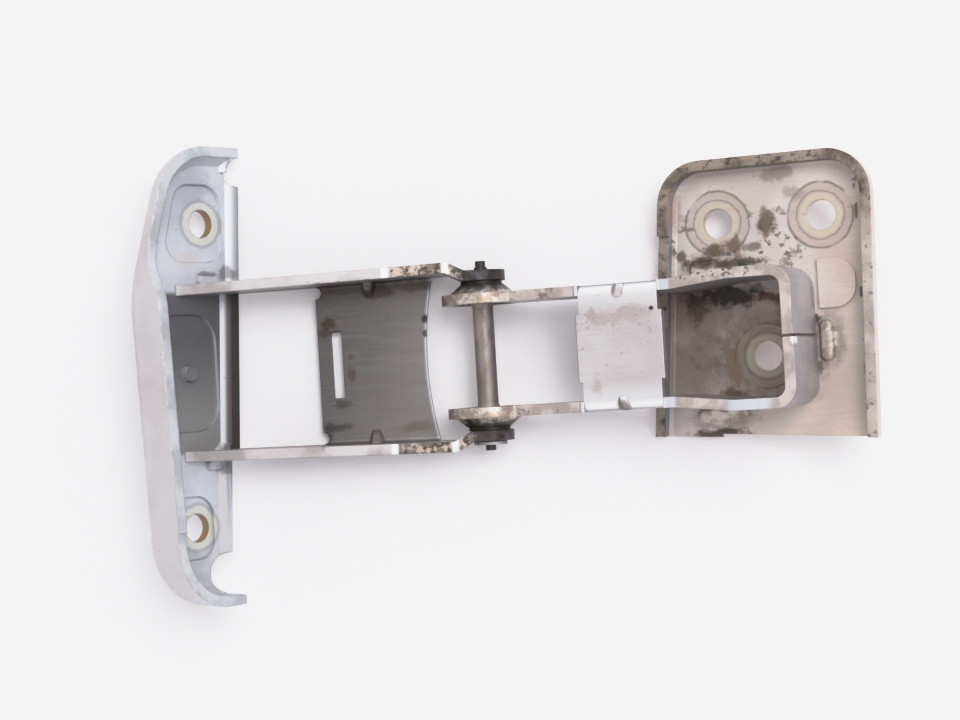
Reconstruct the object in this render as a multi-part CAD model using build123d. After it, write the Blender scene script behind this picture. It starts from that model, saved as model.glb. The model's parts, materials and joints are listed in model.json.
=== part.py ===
from build123d import *
import os
from math import atan, atan2, cos, degrees, radians, sin, sqrt

# Van door hinge: two pressed and welded leaves that turn on one steel pin.
# It lies as it does on a bench: +X from the pillar leaf to the door leaf, +Y along the pin, +Z up.
# Each leaf is drawn about its own plane, and the whole is set down on Z = 0 at the end.

# Sheet
SHEET = 4.0
BEND_OUT = 5.5
BEND_IN = BEND_OUT - SHEET

# Pin, bushes and retaining washer
PIN_R = 4.0
PIN_FLARE_R = 5.6
PIN_FLARE_LENGTH = 5.0
PIN_END_R = 1.95
PIN_END_LENGTH = 3.4
PIN_COLLAR_R = 2.5
PIN_COLLAR_LENGTH = 1.0
RUNNING_CLEARANCE = 0.05
END_PLAY = 0.3
BUSH_WALL = 1.0
BUSH_FLANGE_R = 8.0
BUSH_FLANGE = 1.4
WASHER_R = 6.4
WASHER_THICK = 1.2

# Ears at the pivot, measured along the pin from its middle
INNER_EAR_FACE = 19.8
EAR_DISH = 3.6
EAR_DISH_TOP_R = 8.4
EAR_DISH_FOOT_R = 12.6
INNER_EAR_R = 15.6
OUTER_EAR_R = 9.3
PIN_HEIGHT = 17.0

# Channel arm, which is welded to the pillar bracket
ARM_HEIGHT = 28.0
LEG_Y_AT_BRACKET = 31.2
LEG_Y_AT_PIVOT = 34.2
JOGGLE_START = 13.0
JOGGLE_END = 6.5
JOGGLE_BEND = 3.0
LEG_TOP_END = 10.0
LEG_SHOULDER = 5.0
WEB_NEAR = 19.8
WEB_FAR = 66.0
WEB_SLOT_LENGTH = 26.0
WEB_SLOT_WIDTH = 4.2
WEB_SLOT_FROM_FAR = 7.3
WEB_SCOOP = 3.6
WEB_RELIEF_R = 2.4
WEB_GUSSET_X = 44.9
LEG_FOOT_RISE = 6.0

# Gussets pressed across the bends of both webs
GUSSET_R = 2.8
GUSSET_LENGTH = 7.2
GUSSET_RISE = 1.0
GUSSET_DEPTH = 2.0

# Pillar bracket, a pressed tray whose plane leans back
BRACKET_LEAN = 47.0
BRACKET_X = -96.4
BRACKET_Z = 6.0
BRACKET_WIDTH = 50.3
BRACKET_BACK_SLOPE = 0.035
BRACKET_TOP = 87.6
BRACKET_BOTTOM = 89.5
BRACKET_TAPER_X = 33.4
BRACKET_TAPER_Y = 31.0
BRACKET_TOP_CORNER_R = 26.0
BRACKET_TAPER_R = 60.0
BRACKET_FOOT_CORNER_R = 26.0
BRACKET_BEND_IN = 3.0
BRACKET_EDGE_X = 3.8
BRACKET_EDGE_SLOPE = 0.064
BRACKET_STEP_Y = 30.0
BRACKET_STEP = 4.1
FLANGE = 18.4
FLANGE_TOP = 6.5
FLANGE_STEP_START = 28.0
FLANGE_STEP_END = 43.0
FLANGE_STEP_R = 14.0
FLANGE_FOOT = 12.0
LIP = 3.2
LIP_FLAT = 1.0
LIP_WIDTH = 8.0
NOTCH_TOP_R = 4.8
NOTCH_TOP_FLAT = 1.6
NOTCH_TOP_Y = 77.8
NOTCH_FOOT_R = 8.0
NOTCH_FOOT_Y = 78.0
BRACKET_HOLE_R = 5.5
BRACKET_HOLE_TOP_X = 15.2
BRACKET_HOLE_TOP_Y = 57.9
BRACKET_HOLE_FOOT_X = 25.0
BRACKET_HOLE_FOOT_Y = 59.5
PAD_DEPTH = 1.4
POCKET_LENGTH = 48.0
POCKET_NEAR = 10.5
POCKET_FAR = 42.0
POCKET_CORNER_R = 12.0
TOP_PAD_NEAR = 5.0
TOP_PAD_HALF = 16.5
TOP_PAD_BACK_HIGH = 28.0
TOP_PAD_BACK_LOW = 37.0
FOOT_PAD_LENGTH = 27.0
FOOT_PAD_WIDTH = 24.0
FOOT_PAD_SHIFT = 3.5
PAD_CORNER_R = 9.0
BUTTON_R = 3.2
BUTTON_SIDES = 12
BUTTON_HEIGHT = 3.0
BUTTON_X = 25.2

# Folded arm, which is welded to the door plate; its own frame has the pin at the origin
DOOR_RISE = 19.0
HOOP_OUTSIDE_Y = 26.2
HOOP_END = 121.7
HOOP_CORNER_R = 6.0
HOOP_SEAM = 1.0
FOLD_TOP = 8.0
FOLD_WEB_START = 41.2
FOLD_WEB_END = 71.9
FOLD_TONGUE = 1.4
FOLD_RIM_GAP = 1.0
FOLD_EAR_NECK = 22.0
FOLD_BOW_START = 76.0
FOLD_BOW_END = 98.0
FOLD_BOW_R = 12.0

# Door plate, a tray that is open at its lower edge; its sides lean with the place along the pin
PLATE_START = 60.4
PLATE_START_SLOPE = 0.08
PLATE_END = 145.2
PLATE_END_SLOPE = 0.03
PLATE_TOP = 69.8
PLATE_FOOT = 35.6
PLATE_FOOT_SLOPE = 0.065
PLATE_FOOT_STEP = 1.3
PLATE_FOOT_STEP_X = 82.6
PLATE_CORNER_R = 17.0
PLATE_RIM = 9.0
PLATE_RIM_LOW = 6.0
PLATE_RIM_STEP_Y = 42.0
PLATE_HOLE_R = 5.8
PLATE_HOLE_Y = 45.6
PLATE_HOLE_NEAR = 85.8
PLATE_HOLE_PITCH = 40.2
PLATE_LOW_HOLE_X = 102.3
PLATE_LOW_HOLE_Y = -6.7
BEAD_HEIGHT = 1.8
BEAD_LOW = 10.0
BEAD_HIGH = 29.0
BEAD_GAP = 2.0
BEAD_CORNER_R = 8.0

# Weld beads, each fused to the plate that it runs along
WELD_HEIGHT = 1.8
BRACKET_WELD_X = 15.0
BRACKET_WELD_LENGTH = 12.0
BRACKET_WELD_WIDTH = 6.0
LEG_WELD_X = 84.0
LEG_WELD_LENGTH = 23.0
LEG_WELD_WIDTH = 9.0
HOOP_WELD_Y = -2.2
HOOP_WELD_LENGTH = 18.0
HOOP_WELD_WIDTH = 8.0

# Space that is sure to reach past the part when a cut goes right through
BEYOND = 200.0

# What follows from the sizes above
DISH_FACE = INNER_EAR_FACE + EAR_DISH
BOSS_FACE = DISH_FACE + SHEET
OUTER_EAR_FACE = BOSS_FACE + BUSH_FLANGE
OUTER_EAR_BACK = OUTER_EAR_FACE + SHEET
EAR_MIDDLE = OUTER_EAR_FACE + SHEET / 2
BUSH_R = PIN_R + RUNNING_CLEARANCE + BUSH_WALL
PIN_SHOULDER = OUTER_EAR_BACK + END_PLAY
CHAMFER_OF_ROUND = 2 - sqrt(2)
RISE_SIN = sin(radians(DOOR_RISE))
RISE_COS = cos(radians(DOOR_RISE))
FOLD_OUTSIDE_Y = INNER_EAR_FACE + SHEET
PLATE_LOWEST = PLATE_START - PLATE_START_SLOPE * PLATE_FOOT

# The door leaf droops until the plate's lower bend lies on the surface under the channel's web
FOLD_DROP = BEND_IN + (PIN_HEIGHT - BEND_OUT + (PLATE_LOWEST + BEND_OUT) * RISE_SIN) / RISE_COS

BRACKET_PLANE = Plane(
    origin=(BRACKET_X, 0, BRACKET_Z),
    x_dir=(cos(radians(BRACKET_LEAN)), 0, -sin(radians(BRACKET_LEAN))),
    z_dir=(sin(radians(BRACKET_LEAN)), 0, cos(radians(BRACKET_LEAN))),
)
DOOR_PLACE = Pos(0, 0, PIN_HEIGHT) * Rot(0, -DOOR_RISE, 0)
PIN_PLACE = Pos(0, 0, PIN_HEIGHT)


def prism(face, low, high):
    """A flat face in XY carried from one height to another."""
    return Pos(0, 0, low) * extrude(face, high - low)


def side_prism(*points):
    """An outline in XZ carried right across the part along Y."""
    face = Plane.XZ * make_face(Polyline(*points, close=True))
    return extrude(face, BEYOND, both=True)


def pin_cylinder(radius, low, high):
    """A cylinder along the pin from one distance to another."""
    cylinder = Cylinder(radius, high - low, align=(Align.CENTER, Align.CENTER, Align.MIN))
    return Rot(-90, 0, 0) * Pos(0, 0, low) * cylinder


def turned(*points):
    """A profile of radius against distance along the pin, turned about the pin."""
    profile = make_face(Polyline(*points, close=True))
    return revolve(profile, Axis.Y)


def upright_strip(path, low, high):
    """Sheet that stands on edge along a path seen from above."""
    start = Plane(path @ 0, z_dir=path % 0, x_dir=(0, 0, 1))
    section = start * Rectangle(2 * BEYOND, SHEET)
    strip = sweep(section, path=path)
    slab = Pos(0, 0, low) * Box(2 * BEYOND, BEYOND, high - low, align=(Align.CENTER, Align.CENTER, Align.MIN))
    return strip & slab


def tray(outline, height, bend_in):
    """A pressed tray with its inside floor at Z = 0 and a wall all round."""
    outside = prism(outline, -SHEET, height)
    outside = fillet(outside.faces().sort_by(Axis.Z)[0].edges(), bend_in + SHEET)
    inner = offset(outline, -SHEET)
    inside = prism(inner, 0, height + SHEET)
    inside = chamfer(inside.faces().sort_by(Axis.Z)[0].edges(), bend_in)
    return outside - inside


def bend_section(width):
    """U section of bent sheet: the web along the bottom and a bend at each side that rises into a leg."""
    outside = Pos(0, BEND_OUT) * Rectangle(width, 2 * BEND_OUT)
    outside = fillet(outside.vertices().group_by(Axis.Y)[0], BEND_OUT)
    inside = Pos(0, SHEET + BEND_OUT) * Rectangle(width - 2 * SHEET, 2 * BEND_OUT)
    inside = fillet(inside.vertices().group_by(Axis.Y)[0], BEND_IN)
    return outside - inside


def slanted_rod(x, y, z, angle):
    """The six-sided punch of a gusset, which lies across a bend at half a right angle."""
    rod = extrude(RegularPolygon(GUSSET_R, 6), GUSSET_LENGTH / 2, both=True)
    return Pos(x, y, z) * Rot(angle, 0, 0) * rod


def weld_bead(length, width):
    """A low weld bead that lies along X, with its foot sunk into the sheet."""
    foot = chamfer(Rectangle(length, width).vertices(), width / 4)
    crest = chamfer(Rectangle(length - width / 2, width / 2).vertices(), width / 8)
    return loft([Pos(0, 0, -SHEET / 2) * foot, Pos(0, 0, WELD_HEIGHT) * crest])


def bracket_edge(y):
    """Where the bracket's near edge stands at a place along the pin."""
    return BRACKET_EDGE_SLOPE * y - BRACKET_EDGE_X


def bracket_back(y):
    """Where the bracket's back edge stands at a place along the pin."""
    return -BRACKET_WIDTH - BRACKET_BACK_SLOPE * y


def lip_slope(low, high, step):
    """What goes from the near wall so that the edge turns up at half a right angle along a stretch."""
    face = Plane.XZ * make_face(Polyline(
        (-LIP_WIDTH, 0),
        (-LIP_FLAT - LIP, 0),
        (-LIP_FLAT, LIP),
        (-LIP_FLAT, FLANGE + SHEET),
        (-LIP_WIDTH, FLANGE + SHEET),
        close=True,
    ))
    cut = Pos(0, high, 0) * extrude(face, high - low)
    return Pos(-BRACKET_EDGE_X - step, 0, 0) * Rot(0, 0, -degrees(atan(BRACKET_EDGE_SLOPE))) * cut


def make_bracket():
    """Pillar bracket with its wrapped flange, near lip, notches, pads, bolt holes and welds."""
    step_x = bracket_edge(-BRACKET_STEP_Y) - BRACKET_STEP
    foot_x = bracket_edge(-BRACKET_BOTTOM) - BRACKET_STEP
    corners = [
        (bracket_edge(BRACKET_TOP), BRACKET_TOP),
        (-BRACKET_TAPER_X, BRACKET_TOP),
        (bracket_back(BRACKET_TAPER_Y), BRACKET_TAPER_Y),
        (bracket_back(-BRACKET_BOTTOM), -BRACKET_BOTTOM),
        (foot_x, -BRACKET_BOTTOM),
        (step_x, -BRACKET_STEP_Y - BRACKET_STEP),
        (bracket_edge(-BRACKET_STEP_Y), -BRACKET_STEP_Y),
    ]
    outline = make_face(Polyline(*corners, close=True))
    outline = fillet(corner_at(outline, corners[1]), BRACKET_TOP_CORNER_R)
    outline = fillet(corner_at(outline, corners[2]), BRACKET_TAPER_R)
    outline = fillet(corner_at(outline, corners[3]), BRACKET_FOOT_CORNER_R)
    body = tray(outline, FLANGE + SHEET, BRACKET_BEND_IN)

    # The flange steps down past the upper leg, slopes to the lip at the top, and slopes again at the foot
    step_corners = [(FLANGE_STEP_START, FLANGE), (FLANGE_STEP_END, FLANGE_TOP)]
    step = make_face(Polyline(
        (-BEYOND, FLANGE),
        *step_corners,
        (BEYOND, FLANGE_TOP),
        (BEYOND, FLANGE + 2 * SHEET),
        (-BEYOND, FLANGE + 2 * SHEET),
        close=True,
    ))
    for corner in step_corners:
        step = fillet(corner_at(step, corner), FLANGE_STEP_R)
    body -= extrude(Plane.YZ * step, BEYOND, both=True)
    top_slope_reach = BRACKET_TOP - FLANGE_STEP_END - FLANGE_STEP_R / 2
    for end_y, reach, back, near_x, near in (
        (BRACKET_TOP, top_slope_reach, FLANGE_TOP, bracket_edge(BRACKET_TOP), LIP),
        (-BRACKET_BOTTOM, BRACKET_BOTTOM - BRACKET_HOLE_FOOT_Y, FLANGE, foot_x, FLANGE_FOOT),
    ):
        slope = Plane.XZ * make_face(Polyline(
            (-BRACKET_WIDTH, back),
            (near_x, near),
            (BEYOND, near),
            (BEYOND, FLANGE + SHEET),
            (-BRACKET_WIDTH, FLANGE + SHEET),
            close=True,
        ))
        body -= Pos(0, end_y, 0) * extrude(slope, reach, both=True)

    # The near edge keeps only a low lip, which turns up at a slope beyond the two legs
    top_inside = BRACKET_TOP - SHEET
    foot_inside = SHEET - BRACKET_BOTTOM
    lip_cut = make_face(Polyline(
        (bracket_edge(top_inside) - LIP_WIDTH, top_inside),
        (foot_x - LIP_WIDTH, foot_inside),
        (BEYOND, foot_inside),
        (BEYOND, top_inside),
        close=True,
    ))
    body -= prism(lip_cut, LIP, FLANGE + SHEET)
    body -= lip_slope(LEG_Y_AT_BRACKET, NOTCH_TOP_Y, 0)
    body -= lip_slope(-NOTCH_FOOT_Y, -BRACKET_STEP_Y - BRACKET_STEP, BRACKET_STEP)
    top_notch = SlotCenterToCenter(NOTCH_TOP_FLAT, 2 * NOTCH_TOP_R, rotation=90)
    for notch, x, y in (
        (top_notch, bracket_edge(NOTCH_TOP_Y), NOTCH_TOP_Y),
        (Circle(NOTCH_FOOT_R), bracket_edge(-NOTCH_FOOT_Y) - BRACKET_STEP, -NOTCH_FOOT_Y),
    ):
        body -= Pos(x, y) * prism(notch, -BEYOND, BEYOND)

    # Pressed seats that bear on the pillar: one between the legs and one round each bolt hole
    pocket = Pos(-(POCKET_NEAR + POCKET_FAR) / 2, 0) * Rectangle(POCKET_FAR - POCKET_NEAR, POCKET_LENGTH)
    top_pad = make_face(Polyline(
        (-TOP_PAD_NEAR, BRACKET_HOLE_TOP_Y + TOP_PAD_HALF),
        (-TOP_PAD_BACK_HIGH, BRACKET_HOLE_TOP_Y + TOP_PAD_HALF),
        (-TOP_PAD_BACK_LOW, BRACKET_HOLE_TOP_Y - TOP_PAD_HALF),
        (-TOP_PAD_NEAR, BRACKET_HOLE_TOP_Y - TOP_PAD_HALF),
        close=True,
    ))
    foot_pad = Pos(-BRACKET_HOLE_FOOT_X - FOOT_PAD_SHIFT, -BRACKET_HOLE_FOOT_Y) * Rectangle(
        FOOT_PAD_WIDTH, FOOT_PAD_LENGTH
    )
    for seat, corner_r in ((pocket, POCKET_CORNER_R), (top_pad, PAD_CORNER_R), (foot_pad, PAD_CORNER_R)):
        bump = chamfer(seat.vertices(), CHAMFER_OF_ROUND * corner_r)
        recess = offset(fillet(seat.vertices(), corner_r), -PAD_DEPTH)
        body += prism(bump, -SHEET - PAD_DEPTH, -SHEET)
        body -= prism(recess, -PAD_DEPTH, LIP)
    button = Pos(-BUTTON_X, 0) * RegularPolygon(BUTTON_R, BUTTON_SIDES)
    body += prism(button, -PAD_DEPTH, BUTTON_HEIGHT - PAD_DEPTH)
    for x, y in (
        (-BRACKET_HOLE_TOP_X, BRACKET_HOLE_TOP_Y),
        (-BRACKET_HOLE_FOOT_X, -BRACKET_HOLE_FOOT_Y),
    ):
        body -= Pos(x, y, 0) * Cylinder(BRACKET_HOLE_R, BEYOND / 4)
    weld_y = leg_y(BRACKET_X) + SHEET / 2 + BRACKET_WELD_WIDTH / 4
    for side in (-1, 1):
        bead = weld_bead(BRACKET_WELD_LENGTH, BRACKET_WELD_WIDTH)
        body += Pos(-BRACKET_WELD_X, side * weld_y, 0) * bead
    return BRACKET_PLANE * body


def corner_at(shape, point):
    """The vertex of a flat shape nearest to a point."""
    return shape.vertices().sort_by_distance(Vector(*point))[0]


def channel_leg():
    """The upper leg: a sheet on edge that splays, joggles in and ends in a round ear."""
    path = FilletPolyline(
        (BRACKET_X - BRACKET_WIDTH, LEG_Y_AT_BRACKET),
        (-JOGGLE_START, LEG_Y_AT_PIVOT),
        (-JOGGLE_END, EAR_MIDDLE),
        (OUTER_EAR_R + SHEET, EAR_MIDDLE),
        radius=JOGGLE_BEND,
    )
    strip = upright_strip(path, 0, ARM_HEIGHT)
    tilt = radians(BRACKET_LEAN)
    floor_top_x = BRACKET_X - (ARM_HEIGHT - BRACKET_Z) * cos(tilt) / sin(tilt)
    floor_low_x = BRACKET_X - (LEG_FOOT_RISE - BRACKET_Z) * cos(tilt) / sin(tilt)
    side = side_prism(
        (floor_top_x, ARM_HEIGHT),
        (-LEG_TOP_END, ARM_HEIGHT),
        (-LEG_SHOULDER, PIN_HEIGHT + OUTER_EAR_R),
        (0, PIN_HEIGHT + OUTER_EAR_R),
        (0, PIN_HEIGHT - OUTER_EAR_R),
        (-WEB_NEAR, 0),
        (-WEB_FAR, 0),
        (floor_low_x, LEG_FOOT_RISE),
    )
    side += PIN_PLACE * pin_cylinder(OUTER_EAR_R, -BEYOND, BEYOND)
    leg = strip & side
    return leg - PIN_PLACE * pin_cylinder(BUSH_R, 0, BEYOND)


def leg_y(x):
    """Middle of the splayed upper leg at a place along the arm."""
    run = -JOGGLE_START - (BRACKET_X - BRACKET_WIDTH)
    share = (x - (BRACKET_X - BRACKET_WIDTH)) / run
    return LEG_Y_AT_BRACKET + (LEG_Y_AT_PIVOT - LEG_Y_AT_BRACKET) * share


def channel_bend():
    """Upper half of the channel's web with its bend, which follows the splayed leg."""
    y = leg_y(-WEB_FAR)
    section = Plane(origin=(0, 0, 0), x_dir=(0, 1, 0), z_dir=(1, 0, 0)) * bend_section(2 * y + SHEET)
    straight = extrude(section, BEYOND, both=True)
    splay = degrees(atan2(leg_y(0) - y, WEB_FAR))
    splayed = Pos(-WEB_FAR, y, 0) * Rot(0, 0, splay) * Pos(0, -y, 0) * straight
    return splayed & Pos(-WEB_FAR, 0, 0) * Box(
        WEB_FAR - WEB_NEAR, BEYOND, 4 * BEND_OUT, align=(Align.MIN, Align.MIN, Align.CENTER)
    )


def make_channel_arm():
    """Channel arm: two legs joined by a bent web with a slot, reliefs, gussets and a scooped near edge."""
    leg = channel_leg()
    legs = leg + mirror(leg, Plane.XZ)
    legs -= Pos(-WEB_FAR, 0, 0) * Box(
        WEB_FAR - WEB_NEAR, BEYOND, 2 * BEND_OUT, align=(Align.MIN, Align.CENTER, Align.MIN)
    )
    bend = channel_bend()
    arm = legs + bend + mirror(bend, Plane.XZ)
    scoop_y = leg_y(-WEB_NEAR) - SHEET / 2
    scoop = make_face([
        ThreePointArc((-WEB_NEAR, scoop_y), (-WEB_NEAR - WEB_SCOOP, 0), (-WEB_NEAR, -scoop_y)),
        Line((-WEB_NEAR, -scoop_y), (-WEB_NEAR, scoop_y)),
    ])
    slot = Pos(WEB_SLOT_FROM_FAR - WEB_FAR, 0) * Rectangle(WEB_SLOT_WIDTH, WEB_SLOT_LENGTH)
    arm -= prism(scoop + slot, -SHEET, 2 * SHEET)
    relief_y = leg_y(-WEB_FAR) - SHEET / 2 - WEB_RELIEF_R
    gusset_y = leg_y(-WEB_GUSSET_X)
    corner_y = gusset_y - SHEET / 2 - GUSSET_RISE
    bend_y = gusset_y + SHEET / 2 - BEND_OUT
    out = (BEND_OUT - GUSSET_DEPTH + GUSSET_R) * sin(radians(45))
    for side in (-1, 1):
        relief = Pos(-WEB_FAR, side * relief_y) * RegularPolygon(WEB_RELIEF_R, 8)
        arm -= prism(relief, -SHEET, 2 * SHEET)
        arm += slanted_rod(-WEB_GUSSET_X, side * corner_y, SHEET + GUSSET_RISE, -45 * side)
        arm -= slanted_rod(-WEB_GUSSET_X, side * (bend_y + out), BEND_OUT - out, -45 * side)
    return arm


def dished_ear():
    """Round ear of the folded arm, pressed outwards to a flat-topped boss."""
    back = SHEET + INNER_EAR_FACE
    ear = turned(
        (PIN_R, DISH_FACE),
        (EAR_DISH_TOP_R - SHEET / 2, DISH_FACE),
        (EAR_DISH_FOOT_R - SHEET / 2, INNER_EAR_FACE),
        (INNER_EAR_R, INNER_EAR_FACE),
        (INNER_EAR_R, back),
        (EAR_DISH_FOOT_R, back),
        (EAR_DISH_TOP_R, BOSS_FACE),
        (PIN_R, BOSS_FACE),
    )
    return ear


def folded_leg():
    """Upper half of the folded arm: ear, leg and half of the closing hoop."""
    middle = FOLD_OUTSIDE_Y - SHEET / 2
    hoop_middle = HOOP_OUTSIDE_Y - SHEET / 2
    end = HOOP_END - SHEET / 2
    path = FilletPolyline(
        (0, middle),
        (FOLD_BOW_START, middle),
        (FOLD_BOW_END, hoop_middle),
        (end, hoop_middle),
        (end, HOOP_SEAM / 2),
        radius=[FOLD_BOW_R, FOLD_BOW_R, HOOP_CORNER_R],
    )
    strip = upright_strip(path, -FOLD_DROP, FOLD_TOP)
    foot = plate_near(FOLD_OUTSIDE_Y) + SHEET + BEND_IN + FOLD_RIM_GAP
    side = side_prism(
        (0, FOLD_TOP),
        (BEYOND, FOLD_TOP),
        (BEYOND, -FOLD_DROP),
        (foot, -FOLD_DROP),
        (foot, PLATE_RIM_LOW + FOLD_RIM_GAP - FOLD_DROP),
        (FOLD_EAR_NECK, -INNER_EAR_R + SHEET),
        (0, -INNER_EAR_R + SHEET),
    )
    return (strip & side) - pin_cylinder(INNER_EAR_R, 0, BEYOND) + dished_ear()


def make_folded_arm():
    """Folded arm: two eared legs, the bent web on top with its gussets, and the closed hoop."""
    leg = folded_leg()
    legs = leg + mirror(leg, Plane.XZ)
    width = 2 * FOLD_OUTSIDE_Y
    length = FOLD_WEB_END - FOLD_WEB_START
    legs -= Pos(FOLD_WEB_START, 0, FOLD_TOP) * Box(
        length, 2 * width, 4 * BEND_OUT, align=(Align.MIN, Align.CENTER, Align.CENTER)
    )
    section = Plane(origin=(FOLD_WEB_END, 0, FOLD_TOP), x_dir=(0, 1, 0), z_dir=(-1, 0, 0))
    tongue = Pos(FOLD_WEB_START - FOLD_TONGUE, 0, FOLD_TOP) * Box(
        length + 2 * FOLD_TONGUE,
        width - 4 * BEND_OUT,
        SHEET,
        align=(Align.MIN, Align.CENTER, Align.MAX),
    )
    arm = legs + extrude(section * bend_section(width), length) + tongue
    gusset_x = (FOLD_WEB_START + FOLD_WEB_END) / 2
    corner_y = FOLD_OUTSIDE_Y - SHEET - GUSSET_RISE
    out = (BEND_OUT - GUSSET_DEPTH + GUSSET_R) * sin(radians(45)) - BEND_OUT
    for side in (-1, 1):
        arm += slanted_rod(gusset_x, side * corner_y, FOLD_TOP - SHEET - GUSSET_RISE, 45 * side)
        arm -= slanted_rod(gusset_x, side * (FOLD_OUTSIDE_Y + out), FOLD_TOP + out, 45 * side)
    return arm


def plate_near(y):
    """Where the door plate's near edge stands at a place along the pin."""
    return PLATE_START + PLATE_START_SLOPE * y


def plate_far(y):
    """Where the door plate's far edge stands at a place along the pin."""
    return PLATE_END + PLATE_END_SLOPE * y


def plate_foot(x):
    """Where the door plate's sheared lower edge stands at a place along the arm, before its step."""
    return -PLATE_FOOT - PLATE_FOOT_SLOPE * (x - PLATE_START)


def make_door_plate():
    """Door plate: a tray with three walls, a sheared lower edge, a raised bead, welds and bolt holes."""
    low = plate_foot(PLATE_END) - PLATE_CORNER_R
    outline = make_face(Polyline(
        (plate_near(PLATE_TOP), PLATE_TOP),
        (plate_far(PLATE_TOP), PLATE_TOP),
        (plate_far(low), low),
        (plate_near(low), low),
        close=True,
    ))
    outline = fillet(outline.vertices().group_by(Axis.Y)[-1], PLATE_CORNER_R)
    body = tray(outline, PLATE_RIM, BEND_IN)
    shear = make_face(Polyline(
        (0, plate_foot(0)),
        (PLATE_FOOT_STEP_X, plate_foot(PLATE_FOOT_STEP_X)),
        (PLATE_FOOT_STEP_X, plate_foot(PLATE_FOOT_STEP_X) + PLATE_FOOT_STEP),
        (BEYOND, plate_foot(BEYOND) + PLATE_FOOT_STEP),
        (BEYOND, -BEYOND),
        (0, -BEYOND),
        close=True,
    ))
    body -= prism(shear, -2 * SHEET, PLATE_RIM + SHEET)
    body -= Pos(PLATE_START, PLATE_RIM_STEP_Y, PLATE_RIM_LOW) * Box(
        4 * BEND_OUT, BEYOND, PLATE_RIM, align=(Align.CENTER, Align.MAX, Align.MIN)
    )
    bead_start = HOOP_END + SHEET / 2
    bead_end = plate_far(BEAD_LOW) - SHEET - BEND_IN - BEAD_GAP
    bead = make_face(Polyline(
        (bead_start, BEAD_LOW),
        (bead_end, BEAD_LOW),
        (bead_end, BEAD_HIGH),
        (bead_start, BEAD_HIGH),
        close=True,
    ))
    bead = fillet(bead.vertices().group_by(Axis.X)[-1], BEAD_CORNER_R)
    body += prism(bead, 0, BEAD_HEIGHT)
    leg_weld_y = HOOP_OUTSIDE_Y + LEG_WELD_WIDTH / 2 - SHEET / 2
    for side in (-1, 1):
        body += Pos(LEG_WELD_X, side * leg_weld_y, 0) * weld_bead(LEG_WELD_LENGTH, LEG_WELD_WIDTH)
    hoop_weld = weld_bead(HOOP_WELD_LENGTH, HOOP_WELD_WIDTH)
    body += Pos(HOOP_END + HOOP_WELD_WIDTH / 2, HOOP_WELD_Y, 0) * Rot(0, 0, 90) * hoop_weld
    for x, y in (
        (PLATE_HOLE_NEAR, PLATE_HOLE_Y),
        (PLATE_HOLE_NEAR + PLATE_HOLE_PITCH, PLATE_HOLE_Y),
        (PLATE_LOW_HOLE_X, PLATE_LOW_HOLE_Y),
    ):
        body -= Pos(x, y, 0) * Cylinder(PLATE_HOLE_R, BEYOND / 4)
    return Pos(0, 0, -FOLD_DROP) * body


def make_pin():
    """Hinge pin: flared against both inner ears, with a thin end past each outer ear."""
    half = [
        (PIN_R, DISH_FACE - PIN_FLARE_LENGTH),
        (PIN_FLARE_R, DISH_FACE),
        (PIN_R, DISH_FACE),
        (PIN_R, PIN_SHOULDER),
        (PIN_END_R, PIN_SHOULDER),
        (PIN_END_R, PIN_SHOULDER + PIN_END_LENGTH),
        (0, PIN_SHOULDER + PIN_END_LENGTH),
    ]
    lower = [(radius, -y) for radius, y in reversed(half)]
    collar = pin_cylinder(PIN_COLLAR_R, PIN_SHOULDER, PIN_SHOULDER + PIN_COLLAR_LENGTH)
    return turned(*lower, *half) + collar


def make_bush():
    """Flanged bush of the upper outer ear; its flange keeps the two ears apart."""
    return turned(
        (PIN_R + RUNNING_CLEARANCE, BOSS_FACE),
        (BUSH_FLANGE_R, BOSS_FACE),
        (BUSH_FLANGE_R, OUTER_EAR_FACE),
        (BUSH_R, OUTER_EAR_FACE),
        (BUSH_R, OUTER_EAR_BACK),
        (PIN_R + RUNNING_CLEARANCE, OUTER_EAR_BACK),
    )


def make_washer():
    """Push-on washer that sits on the shoulder of the pin's lower end."""
    ring = pin_cylinder(WASHER_R, PIN_SHOULDER, PIN_SHOULDER + WASHER_THICK)
    ring -= pin_cylinder(PIN_END_R, 0, BEYOND)
    return mirror(ring, Plane.XZ)


bracket = make_bracket()
folded_arm = make_folded_arm()
bush = make_bush()
pieces = {
    "pillar_bracket": bracket,
    "channel_arm": make_channel_arm() - bracket,
    "upper_bush": PIN_PLACE * bush,
    "lower_bush": PIN_PLACE * mirror(bush, Plane.XZ),
    "folded_arm": DOOR_PLACE * folded_arm,
    "door_plate": DOOR_PLACE * (make_door_plate() - folded_arm),
    "hinge_pin": DOOR_PLACE * make_pin(),
    "retaining_washer": DOOR_PLACE * make_washer(),
}

# The origin is under the middle of the whole part, on the surface that it lies on
box = Compound(list(pieces.values())).bounding_box()
ground = Pos(-box.center().X, -box.center().Y, -box.min.Z)
os.makedirs("parts", exist_ok=True)
for name, piece in pieces.items():
    export_step(ground * piece, f"parts/{name}.step")
print("part box", box.size, "pin at", ground * PIN_PLACE)
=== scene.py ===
"""Looks of a van door hinge that lies on a pale bench, seen from almost straight above.

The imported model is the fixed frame. Each leaf of the hinge is a class that dresses its own nodes, each finish
is a small class that makes one procedural material, and the studio holds the bench and the light.
"""

from __future__ import annotations

import json
import logging
import math
from dataclasses import dataclass, replace
from enum import Enum
from typing import Any, ClassVar, Optional, Union

import bmesh
import bpy
from mathutils import Matrix, Vector


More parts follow.
